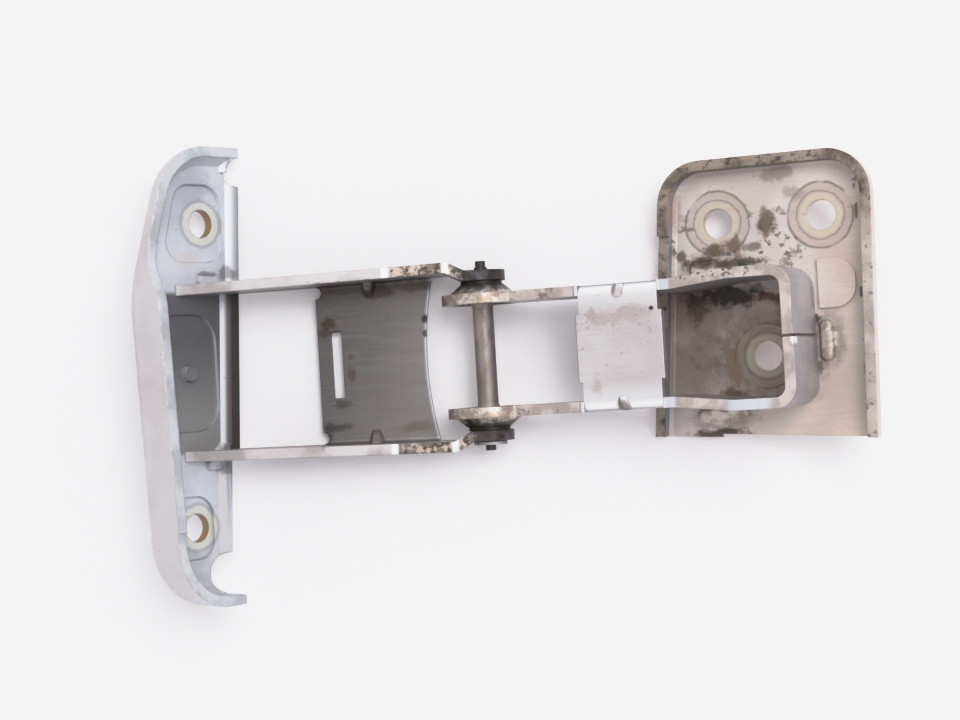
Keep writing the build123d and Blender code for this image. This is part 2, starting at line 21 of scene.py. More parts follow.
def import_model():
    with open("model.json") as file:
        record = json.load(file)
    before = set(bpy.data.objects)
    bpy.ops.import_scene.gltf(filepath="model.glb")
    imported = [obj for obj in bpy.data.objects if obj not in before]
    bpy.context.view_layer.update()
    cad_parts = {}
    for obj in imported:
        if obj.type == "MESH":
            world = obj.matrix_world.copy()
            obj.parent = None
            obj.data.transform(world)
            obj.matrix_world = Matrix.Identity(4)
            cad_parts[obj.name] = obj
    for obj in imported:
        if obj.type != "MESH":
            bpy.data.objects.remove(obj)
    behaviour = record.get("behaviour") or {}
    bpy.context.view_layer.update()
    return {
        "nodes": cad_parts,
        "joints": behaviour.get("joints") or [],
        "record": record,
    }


LOG = logging.getLogger("hinge")
MM = 0.001
PIN_LINE = Vector((0.0, 1.0, 0.0))
UP = Vector((0.0, 0.0, 1.0))
IMAGE_WIDTH = 960
SENSOR_WIDTH = 36.0
# Colour of an oval that only masks another colour.
MASK_ONLY = (0, 0, 0)
# Waves to a metre of the finest dirt.
FINE_DIRT = 420.0


def tint(red: int, green: int, blue: int) -> tuple[float, float, float, float]:
    """Turn a screen colour of 0 to 255 into the linear colour that shaders use.

    Args:
        red: red on a screen.
        green: green on a screen.
        blue: blue on a screen.

    Returns:
        The linear colour with full cover.
    """
    def linear(value: int) -> float:
        """Undo the screen curve of one channel."""
        share = value / 255
        return share / 12.92 if share <= 0.04045 else ((share + 0.055) / 1.055) ** 2.4

    return linear(red), linear(green), linear(blue), 1.0


class Shade(Enum):
    """Screen colours of the finishes, named for where they are seen."""

    # Grease and rust.
    GREASE = (30, 25, 22)
    SHEEN_BROWN = (58, 46, 44)
    SHEEN_BLUE = (82, 74, 84)
    OLD_OIL = (74, 60, 50)
    DARK_RUST = (86, 52, 34)

    # The bracket's paint.
    PAINT_DULL = (184, 187, 193)
    PAINT_PALE = (203, 206, 211)
    PAINT_FLECK = (120, 110, 106)
    PRESS_LINE = (122, 122, 130)
    # Painted shade on the floor between the channel's legs.
    FLOOR_SHADE_LOWER = (148, 147, 146)
    FLOOR_SHADE_UPPER = (95, 94, 98)
    FLOOR_SHADE_BACK = (80, 79, 83)
    # Painted highlight at the foot of the near lip between the legs, turning brown higher up.
    LIP_FOOT_HIGHLIGHT = (214, 217, 224)
    LIP_BROWN = (100, 93, 91)
    # Painted highlight on the near lip beyond the legs, fading to grey higher up.
    LIP_HIGHLIGHT = (234, 237, 243)
    LIP_GREY = (166, 168, 173)
    LIP_RIM_DARK = (72, 66, 65)
    LIP_RIM_GREY = (150, 150, 155)
    FLANGE_CLEAN = (206, 203, 204)
    FLANGE_DUSTY = (198, 192, 192)
    FLANGE_EDGE_DULL = (176, 179, 182)
    FLANGE_EDGE_PALE = (198, 201, 204)
    FLANGE_EDGE_RUBBED = (240, 240, 242)
    BOLT_SHADE = (140, 139, 142)
    BOLT_RING = (209, 208, 198)
    HOLE_OLIVE = (150, 142, 96)
    HOLE_RUST = (176, 122, 70)

    # The channel arm.
    LEG_PALE = (186, 180, 180)
    LEG_DULL = (150, 144, 142)
    LEG_EDGE_PALE = (204, 199, 200)
    LEG_EDGE_DULL = (178, 172, 172)
    LEG_BROWN_PALE = (188, 174, 163)
    LEG_BROWN_DARK = (116, 99, 88)
    LEG_FLECK = (92, 80, 72)
    LEG_SCRATCH = (240, 244, 248)
    LEG_END_RUB = (232, 232, 230)
    # The web's dirty film; its dark end also carries painted shade towards the bracket and the upper leg.
    WEB_DARK_DIRT_AND_SHADE = (86, 82, 81)
    WEB_PALE = (136, 131, 128)
    STREAK_BROWN = (112, 100, 93)
    STREAK_PALE = (150, 147, 146)
    GUSSET = (178, 166, 160)
    # Painted highlight along the channel web's rounded near edge.
    SCOOP_EDGE_HIGHLIGHT = (214, 221, 232)

    # The folded arm.
    ARM_PALE = (190, 186, 190)
    ARM_DULL = (158, 154, 158)
    FOLD_PALE = (222, 218, 219)
    FOLD_DULL = (209, 204, 204)
    FOLD_SPECK = (140, 126, 120)
    # Painted highlights on the fold web towards and on its bends.
    FOLD_SIDE_HIGHLIGHT = (240, 240, 244)
    FOLD_BEND_HIGHLIGHT = (250, 251, 253)
    # Painted shadow line along the fold web's cut edge towards the pin.
    FOLD_EDGE_SHADOW_LINE = (122, 121, 124)
    HOOP_PALE = (186, 185, 190)
    HOOP_DULL = (168, 167, 171)
    CUT_PALE = (218, 208, 205)
    CUT_DULL = (192, 181, 177)
    CUT_BLUE = (226, 231, 242)
    CUT_FLECK = (64, 55, 50)
    CUT_BROWN = (134, 115, 100)
    EAR_PALE = (220, 212, 205)
    EAR_BROWN = (170, 153, 140)
    # Painted white highlight of the small tack weld on the hoop.
    TACK_HIGHLIGHT = (250, 250, 252)

    # The door plate.
    PLATE_PALE = (230, 222, 219)
    PLATE_DULL = (215, 206, 202)
    PLATE_FAR_PALE = (221, 209, 202)
    PLATE_FAR_DULL = (205, 191, 184)
    PLATE_GRIME = (98, 80, 68)
    HOOP_FLOOR_PALE = (206, 192, 185)
    HOOP_FLOOR_BROWN = (164, 146, 136)
    HOOP_FLOOR_RUST = (134, 106, 82)
    GUTTER = (70, 58, 50)
    # Painted shadow on the inside of the plate's upper rim.
    TOP_WALL_SHADOW = (70, 60, 54)
    # Painted shade with a bluish reflection on the inside of the plate's left rim.
    LEFT_WALL_SHADE = (128, 138, 152)
    RIM_BROWN_PALE = (172, 158, 146)
    RIM_BROWN_DARK = (116, 105, 97)
    RIM_BLACK = (58, 50, 45)
    RIM_CREAM_PALE = (206, 197, 192)
    RIM_CREAM_DULL = (186, 174, 167)
    RIM_FLECK = (84, 73, 66)
    PRINT_DISC = (196, 180, 170)
    PRINT_OUTLINE = (104, 88, 77)
    PRINT_RING = (112, 94, 80)
    PRINT_CREAM = (217, 208, 192)
    WELD_BURN = (72, 60, 52)
    WELD_PALE = (236, 228, 222)
    WELD_DULL = (176, 160, 150)

    # The turned pieces at the pivot.
    BUSH_BARE = (96, 80, 62)
    BUSH_WORN = (70, 58, 48)
    PIN_BARE = (168, 158, 152)
    PIN_WORN = (138, 125, 117)
    PIN_SHADED = (76, 66, 62)
    WASHER_BARE = (206, 209, 212)
    WASHER_WORN = (168, 160, 154)

    # The bench and the sky.
    BENCH_DULL = (240, 238, 241)
    BENCH_PALE = (245, 244, 247)
    BENCH_GLOW = (255, 250, 253)
    SKY = (252, 251, 253)

    @property
    def colour(self) -> tuple[float, float, float, float]:
        """The linear colour of this shade."""
        return tint(*self.value)


Socket = Union[bpy.types.NodeSocket, float, tuple, Shade]


@dataclass(frozen=True)
class LeafPlane:
    """The plane that a pressed plate lies in, with its first direction square to the pin.

    Attributes:
        origin: a point of the plane.
        normal: the way its inside faces.
    """

    origin: Vector
    normal: Vector

    @property
    def along(self) -> Vector:
        """The direction in the plane that is square to the pin."""
        return PIN_LINE.cross(self.normal)

    def point(self, along: float, across: float, height: float = 0.0) -> Vector:
        """A place given in millimetres from the origin."""
        return self.origin + (self.along * along + PIN_LINE * across + self.normal * height) * MM


@dataclass(frozen=True)
class LeafPlace:
    """Sockets that say where a surface lies on its leaf, in millimetres.

    Attributes:
        along: square to the pin, in the leaf's plane.
        across: along the pin.
        height: above the plane.
    """

    along: bpy.types.NodeSocket
    across: bpy.types.NodeSocket
    height: bpy.types.NodeSocket


@dataclass(frozen=True)
class Stain:
    """A ragged oval mark on a leaf.

    Attributes:
        along: its middle square to the pin, in millimetres.
        across: its middle along the pin.
        half_along: its reach square to the pin.
        half_across: its reach along the pin.
        colour: its screen colour.
        cover: how much of the sheet it hides, from 0 to 1.
        ragged: how uneven its outline is, as a share of its reach.
    """

    along: float
    across: float
    half_along: float
    half_across: float
    colour: tuple[int, int, int]
    cover: float = 0.8
    ragged: float = 0.6


class Wiring:
    """Short calls for the nodes that the materials and the sky share."""

    def __init__(self, tree: bpy.types.NodeTree) -> None:
        """Keep the node tree that is under construction.

        Args:
            tree: a material's or a world's tree.
        """
        self.tree = tree

    def add(self, kind: str, **settings: Any) -> bpy.types.Node:
        """Add one node.

        Args:
            kind: the node's type.
            settings: properties to set on it.

        Returns:
            The new node.
        """
        node = self.tree.nodes.new(kind)
        for key, value in settings.items():
            setattr(node, key, value)
        return node

    def feed(self, target: bpy.types.NodeSocket, value: Socket) -> None:
        """Link a socket to an input, or set the input's own value.

        Args:
            target: the input.
            value: what it gets.
        """
        if isinstance(value, bpy.types.NodeSocket):
            self.tree.links.new(value, target)
        elif isinstance(value, Shade):
            target.default_value = value.colour
        else:
            target.default_value = value

    def math(
        self, operation: str, first: Socket, second: Socket = 0.0, third: Socket = 0.0
    ) -> bpy.types.NodeSocket:
        """One sum or comparison on up to three numbers.

        Args:
            operation: the node's operation.
            first: the first number.
            second: the second number.
            third: the third number.

        Returns:
            The result.
        """
        node = self.add("ShaderNodeMath", operation=operation)
        for target, value in zip(node.inputs, (first, second, third)):
            self.feed(target, value)
        return node.outputs[0]

    def vector(self, operation: str, first: Socket, second: Socket = (0.0, 0.0, 0.0)) -> bpy.types.Node:
        """A vector operation.

        Args:
            operation: the node's operation.
            first: the first vector.
            second: the second vector.

        Returns:
            The node, because its result is a vector or a number.
        """
        node = self.add("ShaderNodeVectorMath", operation=operation)
        self.feed(node.inputs[0], first)
        self.feed(node.inputs[1], second)
        return node

    def ramp(self, value: Socket, start: float, end: float) -> bpy.types.NodeSocket:
        """A smooth rise.

        Args:
            value: what is compared.
            start: where the rise is 0.
            end: where it is 1, which may be below the start.

        Returns:
            The rise from 0 to 1.
        """
        node = self.add("ShaderNodeMapRange", interpolation_type="SMOOTHSTEP")
        low, high = min(start, end), max(start, end)
        self.feed(node.inputs["Value"], value)
        node.inputs["From Min"].default_value = low
        node.inputs["From Max"].default_value = high
        node.inputs["To Min"].default_value = 0.0 if start <= end else 1.0
        node.inputs["To Max"].default_value = 1.0 if start <= end else 0.0
        return node.outputs["Result"]

    def band(self, value: Socket, low: float, high: float, soft: float) -> bpy.types.NodeSocket:
        """A mask between two values.

        Args:
            value: what is compared.
            low: the lower end.
            high: the upper end.
            soft: how far the mask falls off on each side of an end.

        Returns:
            1 between the ends and 0 outside them.
        """
        rise = self.ramp(value, low - soft, low + soft)
        fall = self.ramp(value, high + soft, high - soft)
        return self.math("MULTIPLY", rise, fall)

    def all_of(self, *masks: Socket) -> Socket:
        """Combine masks.

        Args:
            masks: masks or plain shares.

        Returns:
            Their product.
        """
        result = masks[0]
        for mask in masks[1:]:
            result = self.math("MULTIPLY", result, mask)
        return result

    def any_of(self, *masks: Socket) -> Socket:
        """Join masks.

        Args:
            masks: masks or plain shares.

        Returns:
            The largest of them.
        """
        result = masks[0]
        for mask in masks[1:]:
            result = self.math("MAXIMUM", result, mask)
        return result

    def outside(self, mask: Socket) -> bpy.types.NodeSocket:
        """The reverse of a mask."""
        return self.math("SUBTRACT", 1.0, mask)

    def mix(self, share: Socket, first: Socket, second: Socket) -> bpy.types.NodeSocket:
        """Blend two colours.

        Args:
            share: how much of the second colour shows.
            first: the colour below.
            second: the colour above.

        Returns:
            The blend.
        """
        node = self.add("ShaderNodeMix", data_type="RGBA")
        self.feed(node.inputs["Factor"], share)
        self.feed(node.inputs[6], first)
        self.feed(node.inputs[7], second)
        return node.outputs[2]

    def lay(self, colour: Socket, over: Socket, *masks: Socket, cover: float = 1.0) -> bpy.types.NodeSocket:
        """Lay a colour over another one.

        Args:
            colour: the colour below.
            over: the colour above.
            masks: where it shows; all of them have to hold.
            cover: how much of the colour below it hides, from 0 to 1.

        Returns:
            The blend.
        """
        share = self.all_of(*masks) if cover == 1.0 else self.all_of(*masks, cover)
        return self.mix(share, colour, over)

    def blend(
        self, value: Socket, start: float, end: float, first: Shade, second: Shade
    ) -> bpy.types.NodeSocket:
        """Go from one shade to another as a value goes from start to end."""
        return self.mix(self.ramp(value, start, end), first, second)


class Graph(Wiring):
    """A material's node tree under construction, with short calls for what the finishes share."""

    def __init__(self, name: str) -> None:
        """Start an empty tree with one shader.

        Args:
            name: the material's name.
        """
        self.material = bpy.data.materials.new(name)
        self.material.use_nodes = True
        super().__init__(self.material.node_tree)
        self.tree.nodes.clear()
        output = self.add("ShaderNodeOutputMaterial")
        self.shader = self.add("ShaderNodeBsdfPrincipled")
        self.tree.links.new(self.shader.outputs["BSDF"], output.inputs["Surface"])
        texture = self.add("ShaderNodeTexCoord")
        self.place = texture.outputs["Object"]
        self.facing = texture.outputs["Normal"]
        self.waves: Optional[bpy.types.NodeSocket] = None

    def noise(
        self,
        scale: float,
        detail: float = 4.0,
        rough: float = 0.55,
        stretch: tuple[float, float, float] = (1.0, 1.0, 1.0),
        shift: float = 0.0,
    ) -> bpy.types.NodeSocket:
        """Cloudy noise in object space.

        Args:
            scale: waves to a metre.
            detail: octaves.
            rough: how much the fine octaves count.
            stretch: scale of each axis against the others.
            shift: moves the pattern, so that two layers differ.

        Returns:
            The noise from 0 to 1.
        """
        mapping = self.add("ShaderNodeMapping")
        self.feed(mapping.inputs["Vector"], self.place)
        mapping.inputs["Scale"].default_value = stretch
        mapping.inputs["Location"].default_value = (shift, shift, shift)
        node = self.add("ShaderNodeTexNoise")
        self.feed(node.inputs["Vector"], mapping.outputs["Vector"])
        node.inputs["Scale"].default_value = scale
        node.inputs["Detail"].default_value = detail
        node.inputs["Roughness"].default_value = rough
        return node.outputs["Fac"]

    def offset(self, plane: LeafPlane, direction: Vector) -> bpy.types.NodeSocket:
        """Measure along a direction.

        Args:
            plane: the plane whose origin is the start.
            direction: a unit vector.

        Returns:
            Millimetres from the origin.
        """
        from_origin = self.vector("SUBTRACT", self.place, tuple(plane.origin)).outputs["Vector"]
        along = self.vector("DOT_PRODUCT", from_origin, tuple(direction)).outputs["Value"]
        return self.math("DIVIDE", along, MM)

    def from_axis(self, point: Vector, direction: Vector) -> bpy.types.NodeSocket:
        """Measure from a line.

        Args:
            point: a point of the line.
            direction: the line's unit vector.

        Returns:
            Millimetres from the line.
        """
        from_point = self.vector("SUBTRACT", self.place, tuple(point)).outputs["Vector"]
        square = self.vector("CROSS_PRODUCT", from_point, tuple(direction)).outputs["Vector"]
        length = self.vector("LENGTH", square).outputs["Value"]
        return self.math("DIVIDE", length, MM)

    def facing_share(self, direction: Vector) -> bpy.types.NodeSocket:
        """How squarely a face looks along a direction, from -1 to 1."""
        return self.vector("DOT_PRODUCT", self.facing, tuple(direction)).outputs["Value"]

    def leaf(self, plane: LeafPlane) -> LeafPlace:
        """Where the surface lies on a leaf, in millimetres from the plane's origin."""
        directions = (plane.along, PIN_LINE, plane.normal)
        return LeafPlace(*(self.offset(plane, direction) for direction in directions))

    def rag(self) -> bpy.types.NodeSocket:
        """Uneven waves that make outlines ragged; each material makes them once.

        Returns:
            Waves of about -1 to 1.
        """
        if self.waves is None:
            self.waves = self.math("MULTIPLY_ADD", self.noise(190.0, 7.0, 0.72, shift=0.4), 5.0, -2.5)
        return self.waves

    def uneven(self, value: Socket, amount: float) -> bpy.types.NodeSocket:
        """A distance with ragged waves of an amount added."""
        return self.math("MULTIPLY_ADD", self.rag(), amount, value)

    def blot(self, place: LeafPlace, stain: Stain) -> bpy.types.NodeSocket:
        """A ragged oval mask.

        Args:
            place: where the surface lies on its leaf.
            stain: the oval's middle, reach and cover.

        Returns:
            The stain's cover inside the oval and 0 outside it.
        """
        join = self.add("ShaderNodeCombineXYZ")
        away = self.math("SUBTRACT", place.along, stain.along)
        aside = self.math("SUBTRACT", place.across, stain.across)
        self.feed(join.inputs["X"], self.math("DIVIDE", away, stain.half_along))
        self.feed(join.inputs["Y"], self.math("DIVIDE", aside, stain.half_across))
        reach = self.vector("LENGTH", join.outputs["Vector"]).outputs["Value"]
        return self.math("MULTIPLY", self.ramp(self.uneven(reach, stain.ragged), 1.3, 0.5), stain.cover)

    def stained(self, colour: Socket, place: LeafPlace, stains: tuple[Stain, ...], lowest: float) -> Socket:
        """Lay stains over a colour.

        Args:
            colour: the finish so far.
            place: where the surface lies on its leaf.
            stains: the stains, the lowest layer first.
            lowest: height above which they show, in millimetres.

        Returns:
            The stained finish.
        """
        above = self.ramp(place.height, lowest - 0.5, lowest + 0.5)
        for stain in stains:
            colour = self.lay(colour, tint(*stain.colour), self.blot(place, stain), above)
        return colour

    def flecks(self, scale: float, amount: Socket, shift: float = 0.0) -> bpy.types.NodeSocket:
        """Small uneven flecks.

        Args:
            scale: waves to a metre.
            amount: from 0, almost none, to 1, half the surface.
            shift: moves the pattern, so that two layers differ.

        Returns:
            1 inside a fleck.
        """
        fine = self.noise(scale, 3.0, 0.6, shift=shift)
        return self.ramp(self.math("MULTIPLY_ADD", amount, 0.2, fine), 0.69, 0.74)

    def edges(self, width: float) -> bpy.types.NodeSocket:
        """Find sharp edges.

        Args:
            width: how far the mask reaches from an edge, in millimetres.

        Returns:
            1 on an edge, fading over the width.
        """
        rounded = self.add("ShaderNodeBevel", samples=6)
        rounded.inputs["Radius"].default_value = width * MM
        plain = self.add("ShaderNodeNewGeometry")
        match = self.vector("DOT_PRODUCT", rounded.outputs["Normal"], plain.outputs["Normal"])
        return self.ramp(match.outputs["Value"], 0.995, 0.90)

    def finish(
        self,
        colour: Socket,
        rough: Socket,
        metal: Socket,
        relief: Socket,
        depth: float,
        rounding: float,
    ) -> bpy.types.Material:
        """Wire the shader and hand the material over.

        Args:
            colour: surface colour.
            rough: roughness.
            metal: metallic share.
            relief: height of the surface's grain from 0 to 1.
            depth: what that height is worth, in millimetres.
            rounding: radius of the softened edges, in millimetres.

        Returns:
            The finished material.
        """
        self.feed(self.shader.inputs["Base Color"], colour)
        self.feed(self.shader.inputs["Roughness"], rough)
        self.feed(self.shader.inputs["Metallic"], metal)
        soft = self.add("ShaderNodeBevel", samples=4)
        soft.inputs["Radius"].default_value = rounding * MM
        bump = self.add("ShaderNodeBump")
        bump.inputs["Strength"].default_value = 1.0
        bump.inputs["Distance"].default_value = depth * MM
        self.feed(bump.inputs["Height"], relief)
        self.feed(bump.inputs["Normal"], soft.outputs["Normal"])
        self.feed(self.shader.inputs["Normal"], bump.outputs["Normal"])
        return self.material


@dataclass(frozen=True)
class GreyPaint:
    """Silver-grey paint of the pillar bracket, dark with painted shade between the legs, with painted
    highlights on its near lip, and worn bright at its edges.

    Attributes:
        plane: the bracket's inside plane, whose origin lies under the channel's middle.
        holes: centres of the bolt holes.
        leg_across: how far the legs stand from the middle, along the pin, in millimetres.
        lip_along: where the near lip starts, square to the pin.
        lip_ends: the near lip's ends along the pin.
    """

    plane: LeafPlane
    holes: tuple[Vector, ...]
    leg_across: float = 31.0
    lip_along: float = -13.0
    lip_ends: tuple[float, float] = (-76.0, 78.0)

    LOWEST: ClassVar[float] = -2.4
    STAINS: ClassVar[tuple[Stain, ...]] = (
        Stain(-15.2, 38.2, 5.0, 1.2, (88, 82, 82), 0.6),
        Stain(-5.5, 38.6, 3.0, 3.4, (88, 84, 86), 0.6),
        Stain(-9.0, -37.5, 7.0, 2.4, (104, 100, 102), 0.6),
        Stain(-35.6, -33.3, 1.6, 1.6, (246, 248, 250), 1.0, 0.2),
        Stain(-37.0, 33.4, 2.2, 1.6, (232, 236, 240), 0.8, 0.3),
        Stain(-20.0, 72.0, 9.0, 7.0, (168, 170, 178), 0.45),
        Stain(-30.0, -74.0, 7.0, 8.0, (170, 168, 170), 0.5),
        Stain(-24.0, 44.0, 7.0, 3.0, (204, 196, 194), 0.5),
    )

    def between_legs(self, graph: Graph, place: LeafPlace) -> bpy.types.NodeSocket:
        """1 between the channel's two legs."""
        return graph.band(place.across, -self.leg_across, self.leg_across, 1.2)

    def floor(self, graph: Graph, place: LeafPlace, colour: Socket) -> Socket:
        """Paint shade on the pressed floor between the two legs, darkest towards the upper leg and the back.

        Args:
            graph: the material under construction.
            place: where the surface lies on the bracket.
            colour: the paint so far.

        Returns:
            The paint with its floor.
        """
        level = graph.band(place.height, self.LOWEST, 2.2, 0.6)
        # Painted shade: darker towards the upper leg and towards the back.
        dark = graph.blend(place.across, -24.0, 16.0, Shade.FLOOR_SHADE_LOWER, Shade.FLOOR_SHADE_UPPER)
        dark = graph.lay(dark, Shade.FLOOR_SHADE_BACK, graph.ramp(place.along, -28.0, -42.0))
        return graph.lay(colour, dark, self.between_legs(graph, place), level, cover=0.95)

    def lip(self, graph: Graph, place: LeafPlace, colour: Socket) -> Socket:
        """Shade the near lip: brown between the legs above a painted highlight at its foot, and beyond the legs
        a painted highlight that fades to grey higher up.

        Args:
            graph: the material under construction.
            place: where the surface lies on the bracket.
            colour: the paint so far.

        Returns:
            The paint with its lip.
        """
        between = self.between_legs(graph, place)
        beyond = graph.outside(between)
        near = graph.ramp(place.along, self.lip_along - 1.0, self.lip_along + 1.0)
        wall = graph.all_of(near, graph.ramp(graph.facing_share(self.plane.along), -0.2, -0.6))
        # Painted highlight at the lip's foot between the legs, turning brown higher up.
        brown = graph.blend(place.height, 0.8, 2.3, Shade.LIP_FOOT_HIGHLIGHT, Shade.LIP_BROWN)
        colour = graph.lay(colour, brown, wall, between)
        # Painted highlight on the lip beyond the legs, fading to grey higher up.
        grey = graph.blend(place.height, 0.9, 2.8, Shade.LIP_HIGHLIGHT, Shade.LIP_GREY)
        colour = graph.lay(colour, grey, wall, beyond, cover=0.85)
        top = graph.ramp(graph.facing_share(self.plane.normal), 0.5, 0.8)
        flat = graph.all_of(top, graph.ramp(place.height, 2.6, 3.1))
        outer = graph.ramp(graph.facing_share(self.plane.along), 0.4, 0.7)
        past_foot = graph.ramp(place.along, self.lip_along + 1.0, self.lip_along + 3.0)
        rim = graph.all_of(past_foot, graph.any_of(flat, outer))
        colour = graph.lay(colour, Shade.LIP_RIM_DARK, rim, between)
        beside = graph.band(place.across, *self.lip_ends, 2.0)
        return graph.lay(colour, Shade.LIP_RIM_GREY, rim, beyond, beside, cover=0.8)

    def edges(self, graph: Graph, place: LeafPlace, colour: Socket) -> Socket:
        """Brighten the flange's free edge and dust its outside.

        Args:
            graph: the material under construction.
            place: where the surface lies on the bracket.
            colour: the paint so far.

        Returns:
            The paint with its edges.
        """
        back = graph.ramp(place.along, self.lip_along + 1.0, self.lip_along - 1.0)
        outer = graph.ramp(graph.facing_share(self.plane.along), -0.3, -0.7)
        dust = graph.noise(26.0, 4.0, shift=3.0)
        skin = graph.blend(dust, 0.42, 0.68, Shade.FLANGE_CLEAN, Shade.FLANGE_DUSTY)
        colour = graph.lay(colour, skin, back, outer, cover=0.9)
        top = graph.ramp(graph.facing_share(self.plane.normal), 0.55, 0.85)
        wear = graph.noise(80.0, 4.0)
        worn = graph.blend(wear, 0.4, 0.62, Shade.FLANGE_EDGE_DULL, Shade.FLANGE_EDGE_PALE)
        colour = graph.lay(colour, worn, back, top, graph.ramp(place.height, 3.4, 4.6), cover=0.85)
        high = graph.ramp(place.height, 1.5, 3.0)
        rubbed = graph.all_of(graph.edges(0.7), high, graph.flecks(300.0, 0.8), back)
        return graph.lay(colour, Shade.FLANGE_EDGE_RUBBED, rubbed, cover=0.7)

    def bolt_marks(self, graph: Graph, hole: Vector, colour: Socket) -> Socket:
        """Mark a bolt hole: a grey shade, a cream ring and a rusty wall.

        Args:
            graph: the material under construction.
            hole: the hole's centre.
            colour: the paint so far.

        Returns:
            The paint with the marks.
        """
        in_wall = graph.ramp(graph.math("ABSOLUTE", graph.facing_share(self.plane.normal)), 0.4, 0.2)
        reach = graph.uneven(graph.from_axis(hole, self.plane.normal), 0.5)
        colour = graph.lay(colour, Shade.BOLT_SHADE, graph.band(reach, 8.4, 9.6, 0.7), cover=0.4)
        colour = graph.lay(colour, Shade.BOLT_RING, graph.ramp(reach, 8.8, 7.6), cover=0.7)
        rusty = graph.blend(graph.noise(260.0, 3.0), 0.45, 0.6, Shade.HOLE_OLIVE, Shade.HOLE_RUST)
        return graph.lay(colour, rusty, graph.ramp(reach, 6.4, 5.9), in_wall)

    def material(self) -> bpy.types.Material:
        """Build the paint.

        Returns:
            The material.
        """
        graph = Graph("grey_paint")
        place = graph.leaf(self.plane)
        cloud = graph.noise(38.0, 5.0)
        colour: Socket = graph.blend(cloud, 0.32, 0.68, Shade.PAINT_DULL, Shade.PAINT_PALE)
        for layer in (self.floor, self.lip, self.edges):
            colour = layer(graph, place, colour)
        low = graph.ramp(place.height, 1.2, 0.4)
        outline = graph.all_of(graph.edges(0.5), low, graph.ramp(place.height, -3.0, -2.0))
        colour = graph.lay(colour, Shade.PRESS_LINE, outline, cover=0.5)
        colour = graph.stained(colour, place, self.STAINS, self.LOWEST)
        for hole in self.holes:
            colour = self.bolt_marks(graph, hole, colour)
        colour = graph.lay(colour, Shade.PAINT_FLECK, graph.flecks(FINE_DIRT, 0.1), cover=0.3)
        rough = graph.math("MULTIPLY_ADD", cloud, 0.16, 0.34)
        grain = graph.noise(900.0, 2.0)
        return graph.finish(colour, rough, metal=0.3, relief=grain, depth=0.02, rounding=0.9)


class ZincSheet:
    """Zinc-plated sheet with rolling lines, stains of its own and grease by the pin.

    Attributes:
        NAME: the material's name.
        METAL: metallic share of the clean sheet.
        GREASE: millimetres from the pin where the grease is full and where it ends.
        LOWEST: height above which the stains show, in millimetres.
        STAINS: the sheet's stains, with any painted shadows among them, the lowest layer first.
    """

    NAME: ClassVar[str] = "zinc"
    METAL: ClassVar[float] = 0.5
    GREASE: ClassVar[tuple[float, float]] = (8.0, 13.0)
    LOWEST: ClassVar[float] = 0.0
    STAINS: ClassVar[tuple[Stain, ...]] = ()

    def __init__(self, plane: LeafPlane, pin: Vector) -> None:
        """Keep what the material needs.

        Args:
            plane: the leaf's plane, with its origin at the pin.
            pin: the pin's middle.
        """
        self.plane = plane
        self.pin = pin

    def plating(self, graph: Graph, pale: Shade, dull: Shade) -> bpy.types.NodeSocket:
        """Plating with soft clouds and fine rolling lines.

        Args:
            graph: the material under construction.
            pale: its palest shade.
            dull: its dullest shade.

        Returns:
            The plating's colour.
        """
        cloud = graph.noise(30.0, 5.0)
        lines = graph.noise(55.0, 4.0, stretch=(1.0, 16.0, 1.0), shift=1.7)
        shade = graph.math("MULTIPLY_ADD", lines, 0.22, graph.math("MULTIPLY", cloud, 0.78))
        return graph.blend(shade, 0.36, 0.64, dull, pale)

    def sheet(self, graph: Graph, place: LeafPlace) -> Socket:
        """The sheet's own colours; each kind of sheet gives its own."""
        raise NotImplementedError

    def material(self) -> bpy.types.Material:
        """Build the plating, its stains and its grease.

        Returns:
            The material.
        """
        graph = Graph(self.NAME)
        place = graph.leaf(self.plane)
        colour = graph.stained(self.sheet(graph, place), place, self.STAINS, self.LOWEST)
        colour = graph.lay(colour, Shade.OLD_OIL, graph.flecks(FINE_DIRT, 0.1), cover=0.25)
        full, end = self.GREASE
        grease = graph.ramp(graph.uneven(graph.from_axis(self.pin, PIN_LINE), 3.0), end, full)
        smear = graph.noise(90.0, 4.0, shift=2.0)
        sheen = graph.blend(smear, 0.42, 0.62, Shade.GREASE, Shade.SHEEN_BROWN)
        sheen = graph.lay(sheen, Shade.SHEEN_BLUE, graph.flecks(160.0, 0.5, 6.0))
        colour = graph.lay(colour, sheen, grease, cover=0.93)
        rough = graph.math("MULTIPLY_ADD", graph.noise(80.0, 3.0), 0.22, 0.3)
        metal = graph.math("MULTIPLY_ADD", grease, -0.7 * self.METAL, self.METAL)
        grain = graph.noise(620.0, 4.0, 0.6)
        return graph.finish(colour, rough, metal, relief=grain, depth=0.03, rounding=0.6)


